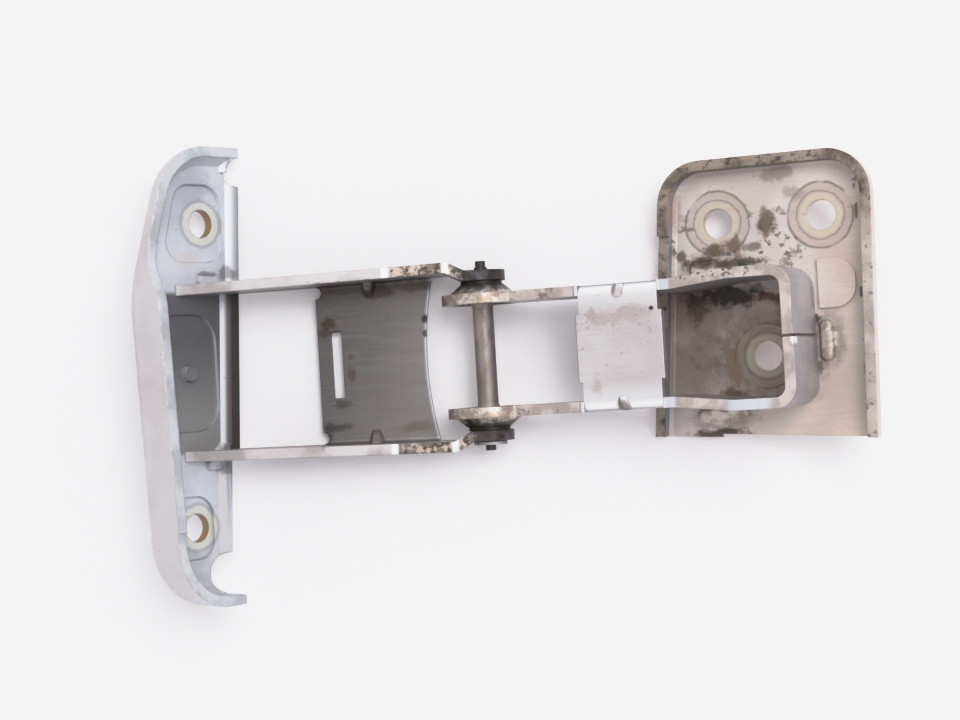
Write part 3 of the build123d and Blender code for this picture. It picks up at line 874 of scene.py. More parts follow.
class ChannelZinc(ZincSheet):
    """The channel arm's plating: cream top edges, grimy towards the pin, and a web dark with road dirt and
    painted shade, with a painted highlight on its near edge.

    Attributes:
        EDGE_HEIGHT: about how high the legs' top edges lie, in millimetres.
        SCRATCHES: where bright scratches cross the top edges; the grime starts at the first.
        SCRATCH_HALF: half a scratch's width.
        LEG_END: where the rubbed ends of the top edges start.
        GUSSETS: the two light gussets in the web's bends.
    """

    NAME = "worn_zinc"
    GREASE = (11.0, 14.5)
    LOWEST = 2.0
    EDGE_HEIGHT: ClassVar[float] = 28.0
    SCRATCHES: ClassVar[tuple[float, float]] = (-36.2, -13.2)
    SCRATCH_HALF: ClassVar[float] = 1.3
    LEG_END: ClassVar[float] = -112.0
    GUSSETS: ClassVar[tuple[Stain, ...]] = (
        Stain(-44.9, -30.4, 2.2, 3.2, MASK_ONLY, 0.8, 0.2),
        Stain(-44.9, 30.4, 2.2, 3.2, MASK_ONLY, 0.8, 0.2),
    )
    STAINS = (
        Stain(-62.1, 16.4, 3.0, 2.6, (66, 50, 38), 0.9),
        Stain(-63.5, 12.8, 2.4, 2.0, (72, 60, 54), 0.8),
        Stain(-58.6, 12.6, 2.2, 1.2, (40, 36, 38), 0.8),
        Stain(-53.4, -4.2, 1.8, 3.2, (84, 68, 56), 0.7),
        Stain(-53.6, 3.0, 1.2, 1.2, (84, 72, 62), 0.6),
        Stain(-41.0, 28.2, 5.5, 3.4, (70, 58, 54), 0.8),
        Stain(-27.0, 29.5, 9.0, 2.2, (88, 74, 68), 0.7),
        Stain(-59.0, 29.0, 9.0, 2.4, (92, 82, 78), 0.7),
        Stain(-61.0, -24.5, 6.0, 1.6, (72, 64, 62), 0.8),
        Stain(-64.0, -27.0, 1.6, 4.0, (66, 60, 60), 0.8),
        Stain(-23.4, 16.2, 1.5, 1.9, (44, 40, 42), 0.95, 0.25),
        Stain(-23.6, 10.4, 1.1, 1.5, (66, 60, 60), 0.9, 0.25),
        Stain(-28.5, -26.0, 6.0, 2.2, (112, 98, 90), 0.6),
        Stain(-58.0, -15.6, 4.0, 1.6, (70, 62, 62), 0.7),
    )

    def web(self, graph: Graph, place: LeafPlace) -> Socket:
        """Dirty web, darker towards the bracket and the upper leg with painted shade, with streaks, light
        gussets and a painted highlight along its near edge.

        Args:
            graph: the material under construction.
            place: where the surface lies on the channel.

        Returns:
            The web's colour.
        """
        # Dirt that darkens towards the bracket and the upper leg with painted shade.
        slope = graph.math("MULTIPLY_ADD", place.across, -0.6, place.along)
        film = graph.blend(slope, -70.0, -8.0, Shade.WEB_DARK_DIRT_AND_SHADE, Shade.WEB_PALE)
        streak = graph.noise(34.0, 5.0, 0.6, stretch=(1.0, 9.0, 1.0), shift=4.0)
        film = graph.lay(film, Shade.STREAK_BROWN, graph.ramp(streak, 0.48, 0.68), cover=0.4)
        film = graph.lay(film, Shade.STREAK_PALE, graph.ramp(streak, 0.46, 0.34), cover=0.15)
        for gusset in self.GUSSETS:
            film = graph.lay(film, Shade.GUSSET, graph.blot(place, gusset))
        # Painted highlight along the rounded near edge.
        near = graph.ramp(place.along, -33.0, -31.0)
        low = graph.ramp(place.height, 7.0, 5.0)
        return graph.lay(film, Shade.SCOOP_EDGE_HIGHLIGHT, graph.edges(2.4), near, low, cover=0.85)

    def top_edge(self, graph: Graph, place: LeafPlace) -> Socket:
        """Cut top edge of the legs: cream, with bright scratches and brown grime towards the pin.

        Args:
            graph: the material under construction.
            place: where the surface lies on the channel.

        Returns:
            The edge's colour.
        """
        edge = graph.blend(graph.noise(60.0, 4.0), 0.4, 0.62, Shade.LEG_EDGE_PALE, Shade.LEG_EDGE_DULL)
        start = self.SCRATCHES[0]
        dirty = graph.ramp(place.along, start - 0.5, start + 2.0)
        mottle = graph.noise(230.0, 4.0, 0.65, shift=8.0)
        brown = graph.blend(mottle, 0.44, 0.56, Shade.LEG_BROWN_PALE, Shade.LEG_BROWN_DARK)
        edge = graph.lay(edge, brown, dirty, cover=0.85)
        amount = graph.math("MULTIPLY_ADD", graph.ramp(place.along, start, -6.0), 0.5, 0.5)
        edge = graph.lay(edge, Shade.LEG_FLECK, dirty, graph.flecks(FINE_DIRT, amount, 9.0))
        for middle in self.SCRATCHES:
            scratch = graph.band(place.along, middle - self.SCRATCH_HALF, middle + self.SCRATCH_HALF, 0.7)
            edge = graph.lay(edge, Shade.LEG_SCRATCH, scratch, cover=0.9)
        rub = graph.ramp(place.along, self.LEG_END, self.LEG_END - 4.0)
        return graph.lay(edge, Shade.LEG_END_RUB, rub, cover=0.6)

    def sheet(self, graph: Graph, place: LeafPlace) -> Socket:
        """Legs, web and top edges.

        Args:
            graph: the material under construction.
            place: where the surface lies on the channel.

        Returns:
            The plating before its stains.
        """
        legs = self.plating(graph, Shade.LEG_PALE, Shade.LEG_DULL)
        colour = graph.lay(legs, self.web(graph, place), graph.ramp(place.height, 17.0, 8.0), cover=0.92)
        upright = graph.ramp(graph.facing_share(self.plane.normal), 0.6, 0.85)
        high = graph.ramp(place.height, self.EDGE_HEIGHT - 9.0, self.EDGE_HEIGHT - 7.0)
        return graph.lay(colour, self.top_edge(graph, place), upright, high)


class FoldZinc(ZincSheet):
    """The folded arm's plating: a bright web with painted highlights on its bends and a painted shadow line at
    its near edge, cream cut edges and a grey hoop.

    Attributes:
        WEB_ENDS: the web's ends, in millimetres from the pin.
        SEAM_TACK: the small weld that closes the hoop.
    """

    NAME = "bright_zinc"
    METAL = 0.6
    GREASE = (9.5, 13.5)
    WEB_ENDS: ClassVar[tuple[float, float]] = (39.5, 73.5)
    SEAM_TACK: ClassVar[Stain] = Stain(122.4, -1.4, 1.9, 2.0, MASK_ONLY, 1.0, 0.1)
    STAINS = (
        Stain(69.5, 13.4, 0.9, 0.8, (34, 30, 32), 0.95, 0.2),
        Stain(46.0, 12.0, 2.4, 2.6, (176, 162, 155), 0.4),
        Stain(52.0, 10.5, 7.0, 3.0, (186, 174, 170), 0.4),
        Stain(62.0, 11.5, 6.0, 4.0, (188, 177, 173), 0.35),
        Stain(47.0, -14.0, 2.2, 4.0, (182, 166, 156), 0.4),
        Stain(56.2, 20.2, 2.4, 2.6, (190, 181, 180), 0.75, 0.2),
        Stain(55.8, -22.6, 2.3, 2.8, (134, 126, 120), 0.8, 0.2),
    )

    def cut_edges(self, graph: Graph, place: LeafPlace) -> Socket:
        """Cream cut edges with pale blue rubs by the web and black flecks along the far leg.

        Args:
            graph: the material under construction.
            place: where the surface lies on the leaf.

        Returns:
            The edges' colour.
        """
        edge = graph.blend(graph.noise(120.0, 4.0), 0.4, 0.62, Shade.CUT_PALE, Shade.CUT_DULL)
        by_web = graph.band(place.along, 72.6, 76.6, 0.9)
        near_side = graph.ramp(place.across, 2.0, -2.0)
        by_hoop = graph.all_of(graph.band(place.along, 96.0, 112.0, 3.0), near_side)
        edge = graph.lay(edge, Shade.CUT_BLUE, graph.any_of(by_web, by_hoop), cover=0.75)
        rim = graph.all_of(graph.ramp(place.across, 21.2, 24.0), graph.band(place.along, 76.0, 108.0, 4.0))
        edge = graph.lay(edge, Shade.CUT_FLECK, rim, graph.flecks(FINE_DIRT, 0.8), cover=0.75)
        near_pin = graph.ramp(place.along, 40.0, 26.0)
        return graph.lay(edge, Shade.CUT_BROWN, near_pin, graph.flecks(200.0, 0.7, 3.0), cover=0.7)

    def web(self, graph: Graph, place: LeafPlace, upright: Socket, legs: Socket) -> Socket:
        """Bright web with specks, painted highlights towards and on its bends, and a painted shadow line at its
        edge towards the pin.

        Args:
            graph: the material under construction.
            place: where the surface lies on the leaf.
            upright: how squarely a face looks up.
            legs: the colour that the bends run into.

        Returns:
            The web's colour.
        """
        flat = self.plating(graph, Shade.FOLD_PALE, Shade.FOLD_DULL)
        speckled = graph.band(place.across, 7.0, 17.0, 3.0)
        flat = graph.lay(flat, Shade.FOLD_SPECK, speckled, graph.flecks(620.0, 0.5, 2.0), cover=0.35)
        # Painted highlights on the flat towards the bends and on the bends themselves.
        aside = graph.ramp(graph.math("ABSOLUTE", place.across), 12.0, 20.0)
        flat = graph.lay(flat, Shade.FOLD_SIDE_HIGHLIGHT, aside, cover=0.7)
        highlit_web = graph.lay(flat, Shade.FOLD_BEND_HIGHLIGHT, graph.ramp(upright, 0.98, 0.85))
        highlit_web = graph.lay(highlit_web, legs, graph.ramp(upright, 0.75, 0.3))
        # Painted shadow line along the web's cut edge towards the pin.
        start = self.WEB_ENDS[0]
        edge_shadow_line = graph.band(place.along, start - 0.4, start + 0.5, 0.25)
        return graph.lay(highlit_web, Shade.FOLD_EDGE_SHADOW_LINE, edge_shadow_line, cover=0.7)

    def sheet(self, graph: Graph, place: LeafPlace) -> Socket:
        """Web, bends, legs, hoop, cut edges and a painted highlight for the tack weld.

        Args:
            graph: the material under construction.
            place: where the surface lies on the leaf.

        Returns:
            The plating before its stains.
        """
        legs = self.plating(graph, Shade.ARM_PALE, Shade.ARM_DULL)
        upright = graph.facing_share(self.plane.normal)
        in_span = graph.band(place.along, *self.WEB_ENDS, 0.3)
        on_web = graph.all_of(in_span, graph.ramp(place.height, 1.0, 4.0))
        colour = graph.lay(legs, self.web(graph, place, upright, legs), on_web)
        hoop = self.plating(graph, Shade.HOOP_PALE, Shade.HOOP_DULL)
        end_wall = graph.ramp(graph.facing_share(self.plane.along), 0.4, 0.8)
        colour = graph.lay(colour, hoop, end_wall, cover=0.85)
        cut = graph.all_of(graph.ramp(upright, 0.7, 0.9), graph.ramp(place.height, 6.4, 7.2))
        colour = graph.lay(colour, self.cut_edges(graph, place), cut, graph.outside(on_web))
        ear = graph.ramp(graph.from_axis(self.pin, PIN_LINE), 17.5, 16.0)
        rim = graph.blend(graph.noise(150.0, 5.0, 0.65), 0.44, 0.58, Shade.EAR_PALE, Shade.EAR_BROWN)
        colour = graph.lay(colour, rim, ear, cover=0.9)
        # Painted white highlight where the small tack weld closes the hoop.
        tack_highlight = graph.blot(place, self.SEAM_TACK)
        return graph.lay(colour, Shade.TACK_HIGHLIGHT, tack_highlight, graph.ramp(place.height, 0.0, 2.0))


class PlateZinc(ZincSheet):
    """The door plate's plating: beige with brown grime, rust blots, washer prints and welds, with painted shade
    on its rim walls and a painted shadow under the hoop's upper leg.

    Attributes:
        FLOOR: height of the plate's floor, in millimetres.
        RUST_HALO: rust round the lower bolt hole.
        GRIME: grime between the hoop and the upper bolt holes.
        WELDS: the beads that hold the hoop.
        BURN_WIDTH: how far the burnt grime reaches past a bead.
    """

    NAME = "dirty_zinc"
    METAL = 0.4
    GREASE = (0.5, 1.0)
    LOWEST = -37.0
    FLOOR: ClassVar[float] = -35.4
    RUST_HALO: ClassVar[Stain] = Stain(97.0, -6.7, 18.0, 17.0, MASK_ONLY, 0.5)
    GRIME: ClassVar[Stain] = Stain(90.0, 36.0, 26.0, 13.0, MASK_ONLY, 0.9)
    WELDS: ClassVar[tuple[Stain, ...]] = (
        Stain(84.0, 28.9, 11.0, 4.2, MASK_ONLY, 0.9, 0.25),
        Stain(84.0, -28.9, 11.0, 4.2, MASK_ONLY, 0.95, 0.25),
        Stain(126.2, -2.2, 4.0, 8.6, MASK_ONLY, 0.9, 0.25),
    )
    BURN_WIDTH: ClassVar[float] = 2.2
    STAINS = (
        Stain(105.0, 44.6, 3.4, 5.2, (112, 92, 74), 0.85),
        Stain(104.4, 39.6, 1.5, 1.4, (150, 120, 92), 0.6),
        Stain(84.0, 35.0, 5.5, 2.6, (112, 86, 62), 0.85),
        Stain(91.5, 37.0, 4.0, 2.6, (134, 112, 92), 0.75),
        Stain(93.0, 33.0, 1.6, 1.4, (150, 120, 94), 0.6),
        Stain(98.5, 35.6, 4.4, 1.6, (120, 98, 78), 0.7),
        Stain(79.0, 31.0, 8.0, 2.4, (86, 70, 58), 0.85),
        Stain(70.5, 33.6, 2.6, 2.4, (92, 74, 60), 0.8),
        Stain(94.0, 29.6, 12.0, 1.8, (74, 60, 50), 0.85),
        # Painted shadow of the hoop's upper leg on the floor inside the hoop.
        Stain(88.0, 17.5, 17.0, 4.4, (50, 42, 37), 0.9),
        Stain(76.0, 13.0, 4.0, 6.0, (104, 90, 82), 0.75),
        Stain(104.0, 15.8, 5.0, 2.0, (112, 74, 44), 0.7),
        Stain(113.0, 12.0, 7.0, 8.0, (78, 68, 60), 0.7),
        Stain(88.5, -20.5, 5.0, 2.0, (96, 80, 68), 0.75),
        Stain(88.0, -10.0, 4.0, 10.0, (156, 126, 100), 0.5),
        Stain(69.5, 52.0, 3.0, 8.0, (176, 150, 132), 0.5),
        Stain(110.0, 63.0, 7.0, 3.0, (150, 134, 124), 0.55),
        Stain(116.0, 55.0, 4.0, 3.0, (168, 150, 140), 0.5),
        Stain(82.0, -35.5, 13.0, 1.8, (66, 54, 46), 0.85),
        Stain(124.0, -4.0, 3.0, 11.0, (150, 130, 118), 0.6),
        Stain(121.0, 6.0, 2.4, 2.6, (58, 48, 42), 0.85),
        Stain(121.5, -12.0, 2.4, 2.4, (98, 80, 68), 0.7),
    )

    def __init__(self, plane: LeafPlane, pin: Vector, holes: tuple[Vector, ...]) -> None:
        """Keep what the material needs.

        Args:
            plane: the leaf's plane, with its origin at the pin.
            pin: the pin's middle.
            holes: centres of the bolt holes.
        """
        super().__init__(plane, pin)
        self.holes = holes

    def washer_print(self, graph: Graph, hole: Vector, colour: Socket) -> Socket:
        """The print of a bolt's washer: a brown outline, a duller disc and a cream ring round the hole.

        Args:
            graph: the material under construction.
            hole: the hole's centre.
            colour: the plating so far.

        Returns:
            The plating with the print.
        """
        reach = graph.uneven(graph.from_axis(hole, self.plane.normal), 0.45)
        colour = graph.lay(colour, Shade.PRINT_DISC, graph.ramp(reach, 13.0, 12.2), cover=0.45)
        broken = graph.ramp(graph.noise(90.0, 3.0, shift=7.0), 0.36, 0.5)
        outline = graph.band(reach, 12.2, 12.9, 0.45)
        colour = graph.lay(colour, Shade.PRINT_OUTLINE, outline, broken, cover=0.65)
        colour = graph.lay(colour, Shade.PRINT_RING, graph.band(reach, 9.0, 9.5, 0.4), cover=0.5)
        return graph.lay(colour, Shade.PRINT_CREAM, graph.ramp(reach, 8.6, 7.8), cover=0.8)

    def floor(self, graph: Graph, place: LeafPlace) -> Socket:
        """Beige floor, brown inside the hoop, with grime, washer prints and a dark broken line along the corner
        by the far rim.

        Args:
            graph: the material under construction.
            place: where the surface lies on the leaf.

        Returns:
            The floor's colour.
        """
        pale = self.plating(graph, Shade.PLATE_PALE, Shade.PLATE_DULL)
        dull = self.plating(graph, Shade.PLATE_FAR_PALE, Shade.PLATE_FAR_DULL)
        slope = graph.math("MULTIPLY_ADD", place.across, -0.5, place.along)
        colour = graph.lay(pale, dull, graph.ramp(slope, 80.0, 128.0))
        in_length = graph.band(place.along, 62.0, 119.0, 2.0)
        in_hoop = graph.all_of(in_length, graph.band(place.across, -23.0, 23.0, 1.2))
        film = graph.noise(45.0, 5.0, 0.6)
        brown = graph.blend(film, 0.4, 0.62, Shade.HOOP_FLOOR_PALE, Shade.HOOP_FLOOR_BROWN)
        colour = graph.lay(colour, brown, in_hoop, cover=0.85)
        colour = graph.lay(colour, Shade.HOOP_FLOOR_RUST, graph.blot(place, self.RUST_HALO), in_hoop)
        grime = graph.blot(place, self.GRIME)
        colour = graph.lay(colour, Shade.PLATE_GRIME, grime, graph.flecks(120.0, 0.7, 4.0))
        for hole in self.holes:
            colour = self.washer_print(graph, hole, colour)
        gutter = graph.band(place.along, 139.0, 140.2, 0.6)
        return graph.lay(colour, Shade.GUTTER, gutter, graph.flecks(150.0, 0.9, 2.0), cover=0.8)

    def rim(self, graph: Graph, place: LeafPlace) -> Socket:
        """Top of the rim: cream along the far side, brown under black dirt at the top and on the left.

        Args:
            graph: the material under construction.
            place: where the surface lies on the leaf.

        Returns:
            The rim's colour.
        """
        far_side = graph.all_of(graph.ramp(place.along, 134.0, 138.0), graph.ramp(place.across, 52.0, 40.0))
        patches = graph.noise(75.0, 5.0, 0.62)
        brown = graph.blend(patches, 0.4, 0.6, Shade.RIM_BROWN_PALE, Shade.RIM_BROWN_DARK)
        brown = graph.lay(brown, Shade.RIM_BLACK, graph.flecks(FINE_DIRT, 0.6, 5.0), cover=0.65)
        cream = graph.blend(patches, 0.4, 0.6, Shade.RIM_CREAM_PALE, Shade.RIM_CREAM_DULL)
        cream = graph.lay(cream, Shade.RIM_FLECK, graph.flecks(300.0, 0.45, 5.0), cover=0.6)
        return graph.lay(brown, cream, far_side)

    def walls(self, graph: Graph, place: LeafPlace, colour: Socket) -> Socket:
        """Shade the rim: its top, a painted shadow on its upper wall and a painted bluish shade on its left
        wall.

        Args:
            graph: the material under construction.
            place: where the surface lies on the leaf.
            colour: the plating so far.

        Returns:
            The plating with its rim.
        """
        seat = graph.math("SUBTRACT", place.height, self.FLOOR)
        upright = graph.ramp(graph.facing_share(self.plane.normal), 0.6, 0.85)
        colour = graph.lay(colour, self.rim(graph, place), upright, graph.ramp(seat, 4.5, 5.5))
        # Painted shadow on the inside of the upper rim.
        down = graph.ramp(graph.facing_share(PIN_LINE), -0.35, -0.7)
        upper = graph.all_of(down, graph.ramp(seat, 1.5, 4.0), graph.ramp(place.across, 55.0, 60.0))
        colour = graph.lay(colour, Shade.TOP_WALL_SHADOW, upper, cover=0.85)
        # Painted bluish shade on the inside of the left rim.
        rightwards = graph.ramp(graph.facing_share(self.plane.along), 0.5, 0.8)
        left = graph.all_of(rightwards, graph.ramp(seat, 1.0, 2.0), graph.ramp(place.along, 80.0, 76.0))
        return graph.lay(colour, Shade.LEFT_WALL_SHADE, left, cover=0.8)

    def weld(self, graph: Graph, place: LeafPlace, colour: Socket, spot: Stain) -> Socket:
        """A cream weld bead inside a ring of burnt grime.

        Args:
            graph: the material under construction.
            place: where the surface lies on the leaf.
            colour: the plating so far.
            spot: the bead's oval.

        Returns:
            The plating with the bead.
        """
        longer, wider = spot.half_along + self.BURN_WIDTH, spot.half_across + self.BURN_WIDTH
        burnt = replace(spot, half_along=longer, half_across=wider, cover=0.55)
        inside = graph.ramp(place.height, self.LOWEST - 0.5, self.LOWEST + 0.5)
        colour = graph.lay(colour, Shade.WELD_BURN, graph.blot(place, burnt), inside)
        bead = graph.blend(graph.noise(240.0, 3.0), 0.42, 0.6, Shade.WELD_PALE, Shade.WELD_DULL)
        return graph.lay(colour, bead, graph.blot(place, spot), inside)

    def sheet(self, graph: Graph, place: LeafPlace) -> Socket:
        """Floor, rim and welds.

        Args:
            graph: the material under construction.
            place: where the surface lies on the leaf.

        Returns:
            The plating before its stains.
        """
        colour = self.walls(graph, place, self.floor(graph, place))
        for spot in self.WELDS:
            colour = self.weld(graph, place, colour, spot)
        return colour


@dataclass(frozen=True)
class GreasySteel:
    """Turned pieces at the pivot, under old grease.

    Attributes:
        name: the material's name.
        bare: the metal where it is clean.
        worn: the metal where it is brown.
        pin: the pin's middle.
        clean_half: half length of the stretch that stays clean, in millimetres from the pin's middle.
        metal: metallic share.
    """

    name: str
    bare: Shade
    worn: Shade
    pin: Vector
    clean_half: float
    metal: float = 0.6

    def material(self) -> bpy.types.Material:
        """Build the metal and its grease.

        Returns:
            The material.
        """
        graph = Graph(self.name)
        cloud = graph.noise(60.0, 5.0, stretch=(1.0, 0.5, 1.0))
        colour = graph.blend(cloud, 0.42, 0.6, self.bare, self.worn)
        streak = graph.noise(150.0, 4.0, stretch=(1.0, 0.3, 1.0), shift=3.0)
        colour = graph.lay(colour, Shade.DARK_RUST, graph.ramp(streak, 0.58, 0.7), cover=0.55)
        middle = LeafPlane(self.pin, UP)
        shaded = graph.ramp(graph.facing_share(middle.along), 0.35, 0.9)
        colour = graph.lay(colour, Shade.PIN_SHADED, shaded, cover=0.6)
        out = graph.uneven(graph.math("ABSOLUTE", graph.offset(middle, PIN_LINE)), 2.0)
        grease = graph.ramp(out, self.clean_half, self.clean_half + 5.0)
        colour = graph.lay(colour, Shade.GREASE, grease, cover=0.85)
        rough = graph.math("MULTIPLY_ADD", cloud, 0.2, 0.38)
        grain = graph.noise(500.0, 3.0)
        return graph.finish(colour, rough, self.metal, relief=grain, depth=0.02, rounding=0.3)


def dress(node: bpy.types.Object, material: bpy.types.Material) -> None:
    """Give every slot of a node one material.

    Args:
        node: the node's object.
        material: its finish.
    """
    if not node.material_slots:
        node.data.materials.append(material)
    for slot in node.material_slots:
        slot.material = material
    LOG.info("dressed %s in %s", node.name, material.name)


def mount(record: dict, name: str) -> dict:
    """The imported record's mount of a given name."""
    return next(entry for entry in record["mounts"] if entry["name"] == name)


def hole_pair(entry: dict, direction: Vector) -> tuple[Vector, Vector]:
    """Centres of a two-hole bolt pattern.

    Args:
        entry: the mount.
        direction: unit vector from the middle to one hole.

    Returns:
        Both centres.
    """
    middle = Vector(entry["pos_m"])
    reach = direction * (entry["dims"]["pcd_mm"] / 2 * MM)
    return middle + reach, middle - reach


@dataclass
class PillarLeaf:
    """The pillar bracket, its channel arm and the two bushes.

    Attributes:
        nodes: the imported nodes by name.
        record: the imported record.
        pin: the pin's middle.
        hole_turn: degrees that the line of bolt holes turns from the pin's direction.
        floor_from_bolts: from the middle of the bolt holes to the bracket's floor, in millimetres.
    """

    nodes: dict[str, bpy.types.Object]
    record: dict
    pin: Vector
    hole_turn: float = 4.77
    floor_from_bolts: tuple[float, float, float] = (20.1, 0.8, 3.4)

    def build(self) -> None:
        """Dress the leaf's nodes."""
        bolts = mount(self.record, "pillar_bolts")
        seat = LeafPlane(Vector(bolts["pos_m"]), -Vector(bolts["axis"]))
        turn = math.radians(self.hole_turn)
        line = PIN_LINE * math.cos(turn) + seat.along * math.sin(turn)
        floor = LeafPlane(seat.point(*self.floor_from_bolts), seat.normal)
        dress(self.nodes["pillar_bracket"], GreyPaint(floor, hole_pair(bolts, line)).material())
        ground = LeafPlane(Vector((self.pin.x, self.pin.y, 0.0)), UP)
        dress(self.nodes["channel_arm"], ChannelZinc(ground, self.pin).material())
        bush = GreasySteel("greased_bush", Shade.BUSH_BARE, Shade.BUSH_WORN, self.pin, 0.0, 0.3).material()
        for name in ("upper_bush", "lower_bush"):
            dress(self.nodes[name], bush)


@dataclass
class DoorLeaf:
    """The folded arm, the door plate, the pin and its washer.

    Attributes:
        nodes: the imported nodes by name.
        record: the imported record.
        pin: the pin's middle.
        pin_clean_half: half length of the pin's clean stretch, in millimetres.
        washer_clean_half: far enough to keep the washer clean.
    """

    nodes: dict[str, bpy.types.Object]
    record: dict
    pin: Vector
    pin_clean_half: float = 20.0
    washer_clean_half: float = 60.0

    def build(self) -> None:
        """Dress the leaf's nodes."""
        bolts = mount(self.record, "door_bolts")
        plane = LeafPlane(self.pin, -Vector(bolts["axis"]))
        lower = Vector(mount(self.record, "door_lower_hole")["pos_m"])
        holes = (*hole_pair(bolts, plane.along), lower)
        dress(self.nodes["folded_arm"], FoldZinc(plane, self.pin).material())
        dress(self.nodes["door_plate"], PlateZinc(plane, self.pin, holes).material())
        steel = GreasySteel(
            "brown_pin_steel", Shade.PIN_BARE, Shade.PIN_WORN, self.pin, self.pin_clean_half, 0.35
        )
        dress(self.nodes["hinge_pin"], steel.material())
        zinc = GreasySteel(
            "washer_zinc", Shade.WASHER_BARE, Shade.WASHER_WORN, self.pin, self.washer_clean_half
        )
        dress(self.nodes["retaining_washer"], zinc.material())


@dataclass(frozen=True)
class PhotoCamera:
    """A camera almost straight above the hinge.

    Attributes:
        target: the point it looks at, in metres.
        distance: metres from the target.
        lean_right: degrees that it stands to the right of straight above.
        lean_near: degrees that it stands towards the lower edge of the picture.
        roll: degrees that the hinge turns anticlockwise in the picture.
        focal_pixels: focal length in pixels of the 960 by 720 frame.
    """

    target: tuple[float, float, float] = (-0.01156, -0.00065, 0.020)
    distance: float = 0.75
    lean_right: float = 1.98
    lean_near: float = 0.78
    roll: float = 3.48
    focal_pixels: float = 1950.0

    def build(self) -> None:
        """Make the camera and set it as the scene's own."""
        data = bpy.data.cameras.new("photo_camera")
        data.sensor_width = SENSOR_WIDTH
        data.lens = self.focal_pixels / IMAGE_WIDTH * SENSOR_WIDTH
        data.clip_start = 0.01
        camera = bpy.data.objects.new("photo_camera", data)
        bpy.context.scene.collection.objects.link(camera)
        back = Vector((math.tan(math.radians(self.lean_right)), -math.tan(math.radians(self.lean_near)), 1.0))
        back.normalize()
        turn = math.radians(self.roll)
        up = Vector((math.sin(turn), math.cos(turn), 0.0))
        right = up.cross(back).normalized()
        up = back.cross(right)
        turned = Matrix((right, up, back)).transposed().to_4x4()
        camera.matrix_world = Matrix.Translation(Vector(self.target) + back * self.distance) @ turned
        bpy.context.scene.camera = camera


@dataclass(frozen=True)
class Lamp:
    """One soft lamp that looks at the hinge.

    Attributes:
        name: the lamp's name.
        place: where it hangs, in metres.
        width: its size along the bench, in metres.
        height: its other size.
        power: watts.
    """

    name: str
    place: tuple[float, float, float]
    width: float
    height: float
    power: float

    def build(self) -> None:
        """Hang the lamp."""
        data = bpy.data.lights.new(self.name, "AREA")
        data.shape = "RECTANGLE"
        data.size = self.width
        data.size_y = self.height
        data.energy = self.power
        lamp = bpy.data.objects.new(self.name, data)
        bpy.context.scene.collection.objects.link(lamp)
        lamp.location = self.place
        lamp.rotation_mode = "QUATERNION"
        lamp.rotation_quaternion = Vector(self.place).to_track_quat("Z", "Y")


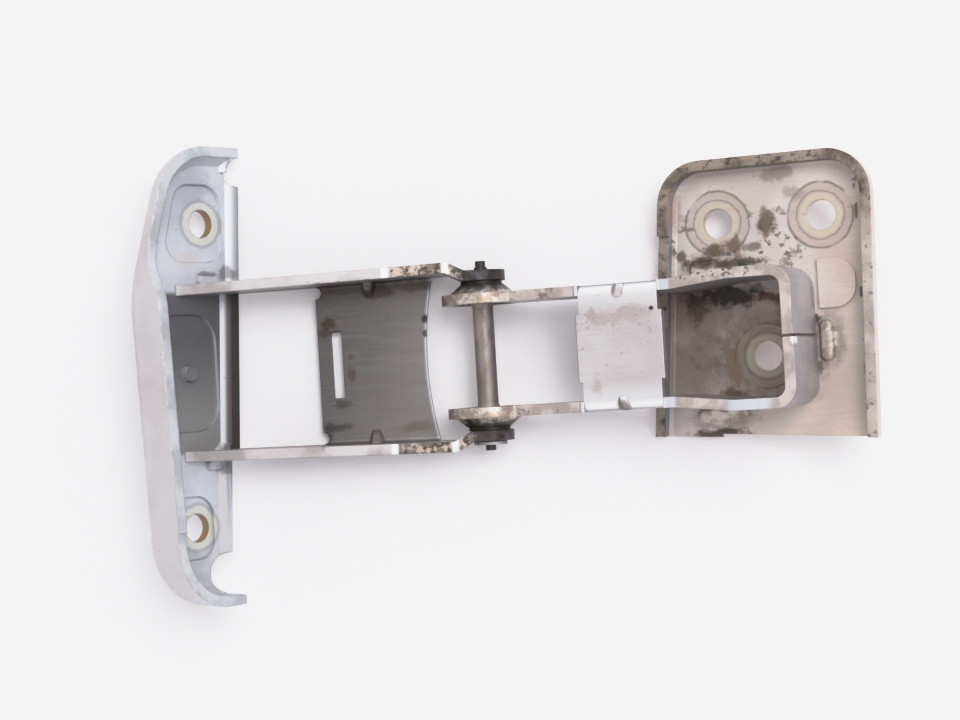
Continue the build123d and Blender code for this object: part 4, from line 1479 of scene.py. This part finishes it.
@dataclass(frozen=True)
class Studio:
    """A pale bench under soft light.

    Attributes:
        bench_half: half the bench's width, in metres.
        bench_drop: how far the bench lies below the hinge, in metres, so that their faces never coincide.
        bench_glow: light that the bench gives off itself, which keeps its shadows pale.
        zenith: strength of the light from straight above.
        horizon: strength of the light near the bench.
        brightest: the light that is shown as the photo's white.
        window: the one lamp.
    """

    bench_half: float = 3.0
    bench_drop: float = 0.00005
    bench_glow: float = 0.09
    zenith: float = 0.55
    horizon: float = 1.1
    brightest: float = 2.2
    window: Lamp = Lamp("window", (0.5, 0.55, 1.9), 1.1, 1.1, 24.0)

    SHOWN_WHITE: ClassVar[float] = 0.96
    # Pairs of a light and the share of white that it is shown as.
    FILM: ClassVar[tuple[tuple[float, float], ...]] = (
        (0.15, 0.115), (0.3, 0.225), (0.54, 0.455), (0.8, 0.74), (1.1, 0.88), (1.5, 0.94),
    )

    def bench(self) -> None:
        """Lay the bench under the hinge."""
        mesh = bpy.data.meshes.new("bench")
        shape = bmesh.new()
        bmesh.ops.create_grid(shape, x_segments=1, y_segments=1, size=self.bench_half)
        bmesh.ops.translate(shape, verts=shape.verts, vec=(0.0, 0.0, -self.bench_drop))
        shape.to_mesh(mesh)
        shape.free()
        bench = bpy.data.objects.new("bench", mesh)
        bpy.context.scene.collection.objects.link(bench)
        graph = Graph("bench_white")
        colour = graph.mix(graph.noise(6.0, 3.0), Shade.BENCH_DULL, Shade.BENCH_PALE)
        graph.shader.inputs["Emission Color"].default_value = Shade.BENCH_GLOW.colour
        graph.shader.inputs["Emission Strength"].default_value = self.bench_glow
        grain = graph.noise(1500.0, 2.0)
        surface = graph.finish(colour, rough=0.85, metal=0.0, relief=grain, depth=0.02, rounding=0.1)
        mesh.materials.append(surface)

    def sky(self) -> None:
        """Light from all round: dim straight above and bright near the bench."""
        world = bpy.data.worlds.new("soft_sky")
        world.use_nodes = True
        wiring = Wiring(world.node_tree)
        background = world.node_tree.nodes["Background"]
        background.inputs["Color"].default_value = Shade.SKY.colour
        parts = wiring.add("ShaderNodeSeparateXYZ")
        wiring.feed(parts.inputs["Vector"], wiring.add("ShaderNodeTexCoord").outputs["Generated"])
        level = wiring.outside(wiring.math("POWER", parts.outputs["Z"], 2.0))
        strength = wiring.math("MULTIPLY_ADD", level, self.horizon - self.zenith, self.zenith)
        wiring.feed(background.inputs["Strength"], strength)
        bpy.context.scene.world = world

    def film(self) -> None:
        """Give the picture a photo's soft shoulder and toe, so that the bench stays just short of white."""
        view = bpy.context.scene.view_settings
        view.view_transform = "Standard"
        view.use_curve_mapping = True
        view.curve_mapping.white_level = (self.brightest, self.brightest, self.brightest)
        curve = view.curve_mapping.curves[3]
        for light, shown in self.FILM:
            curve.points.new(light / self.brightest, shown)
        curve.points[-1].location = (1.0, self.SHOWN_WHITE)
        view.curve_mapping.update()

    def build(self) -> None:
        """Make the bench and all the light."""
        for step in (self.bench, self.sky, self.film, self.window.build):
            step()


def main() -> None:
    """Load the frame, dress both leaves and set the stage."""
    logging.basicConfig(level=logging.INFO, format="%(name)s: %(message)s")
    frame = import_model()
    pin = Vector(frame["joints"][0]["pos_m"])
    PillarLeaf(frame["nodes"], frame["record"], pin).build()
    DoorLeaf(frame["nodes"], frame["record"], pin).build()
    PhotoCamera().build()
    Studio().build()


if __name__ == "__main__":
    main()
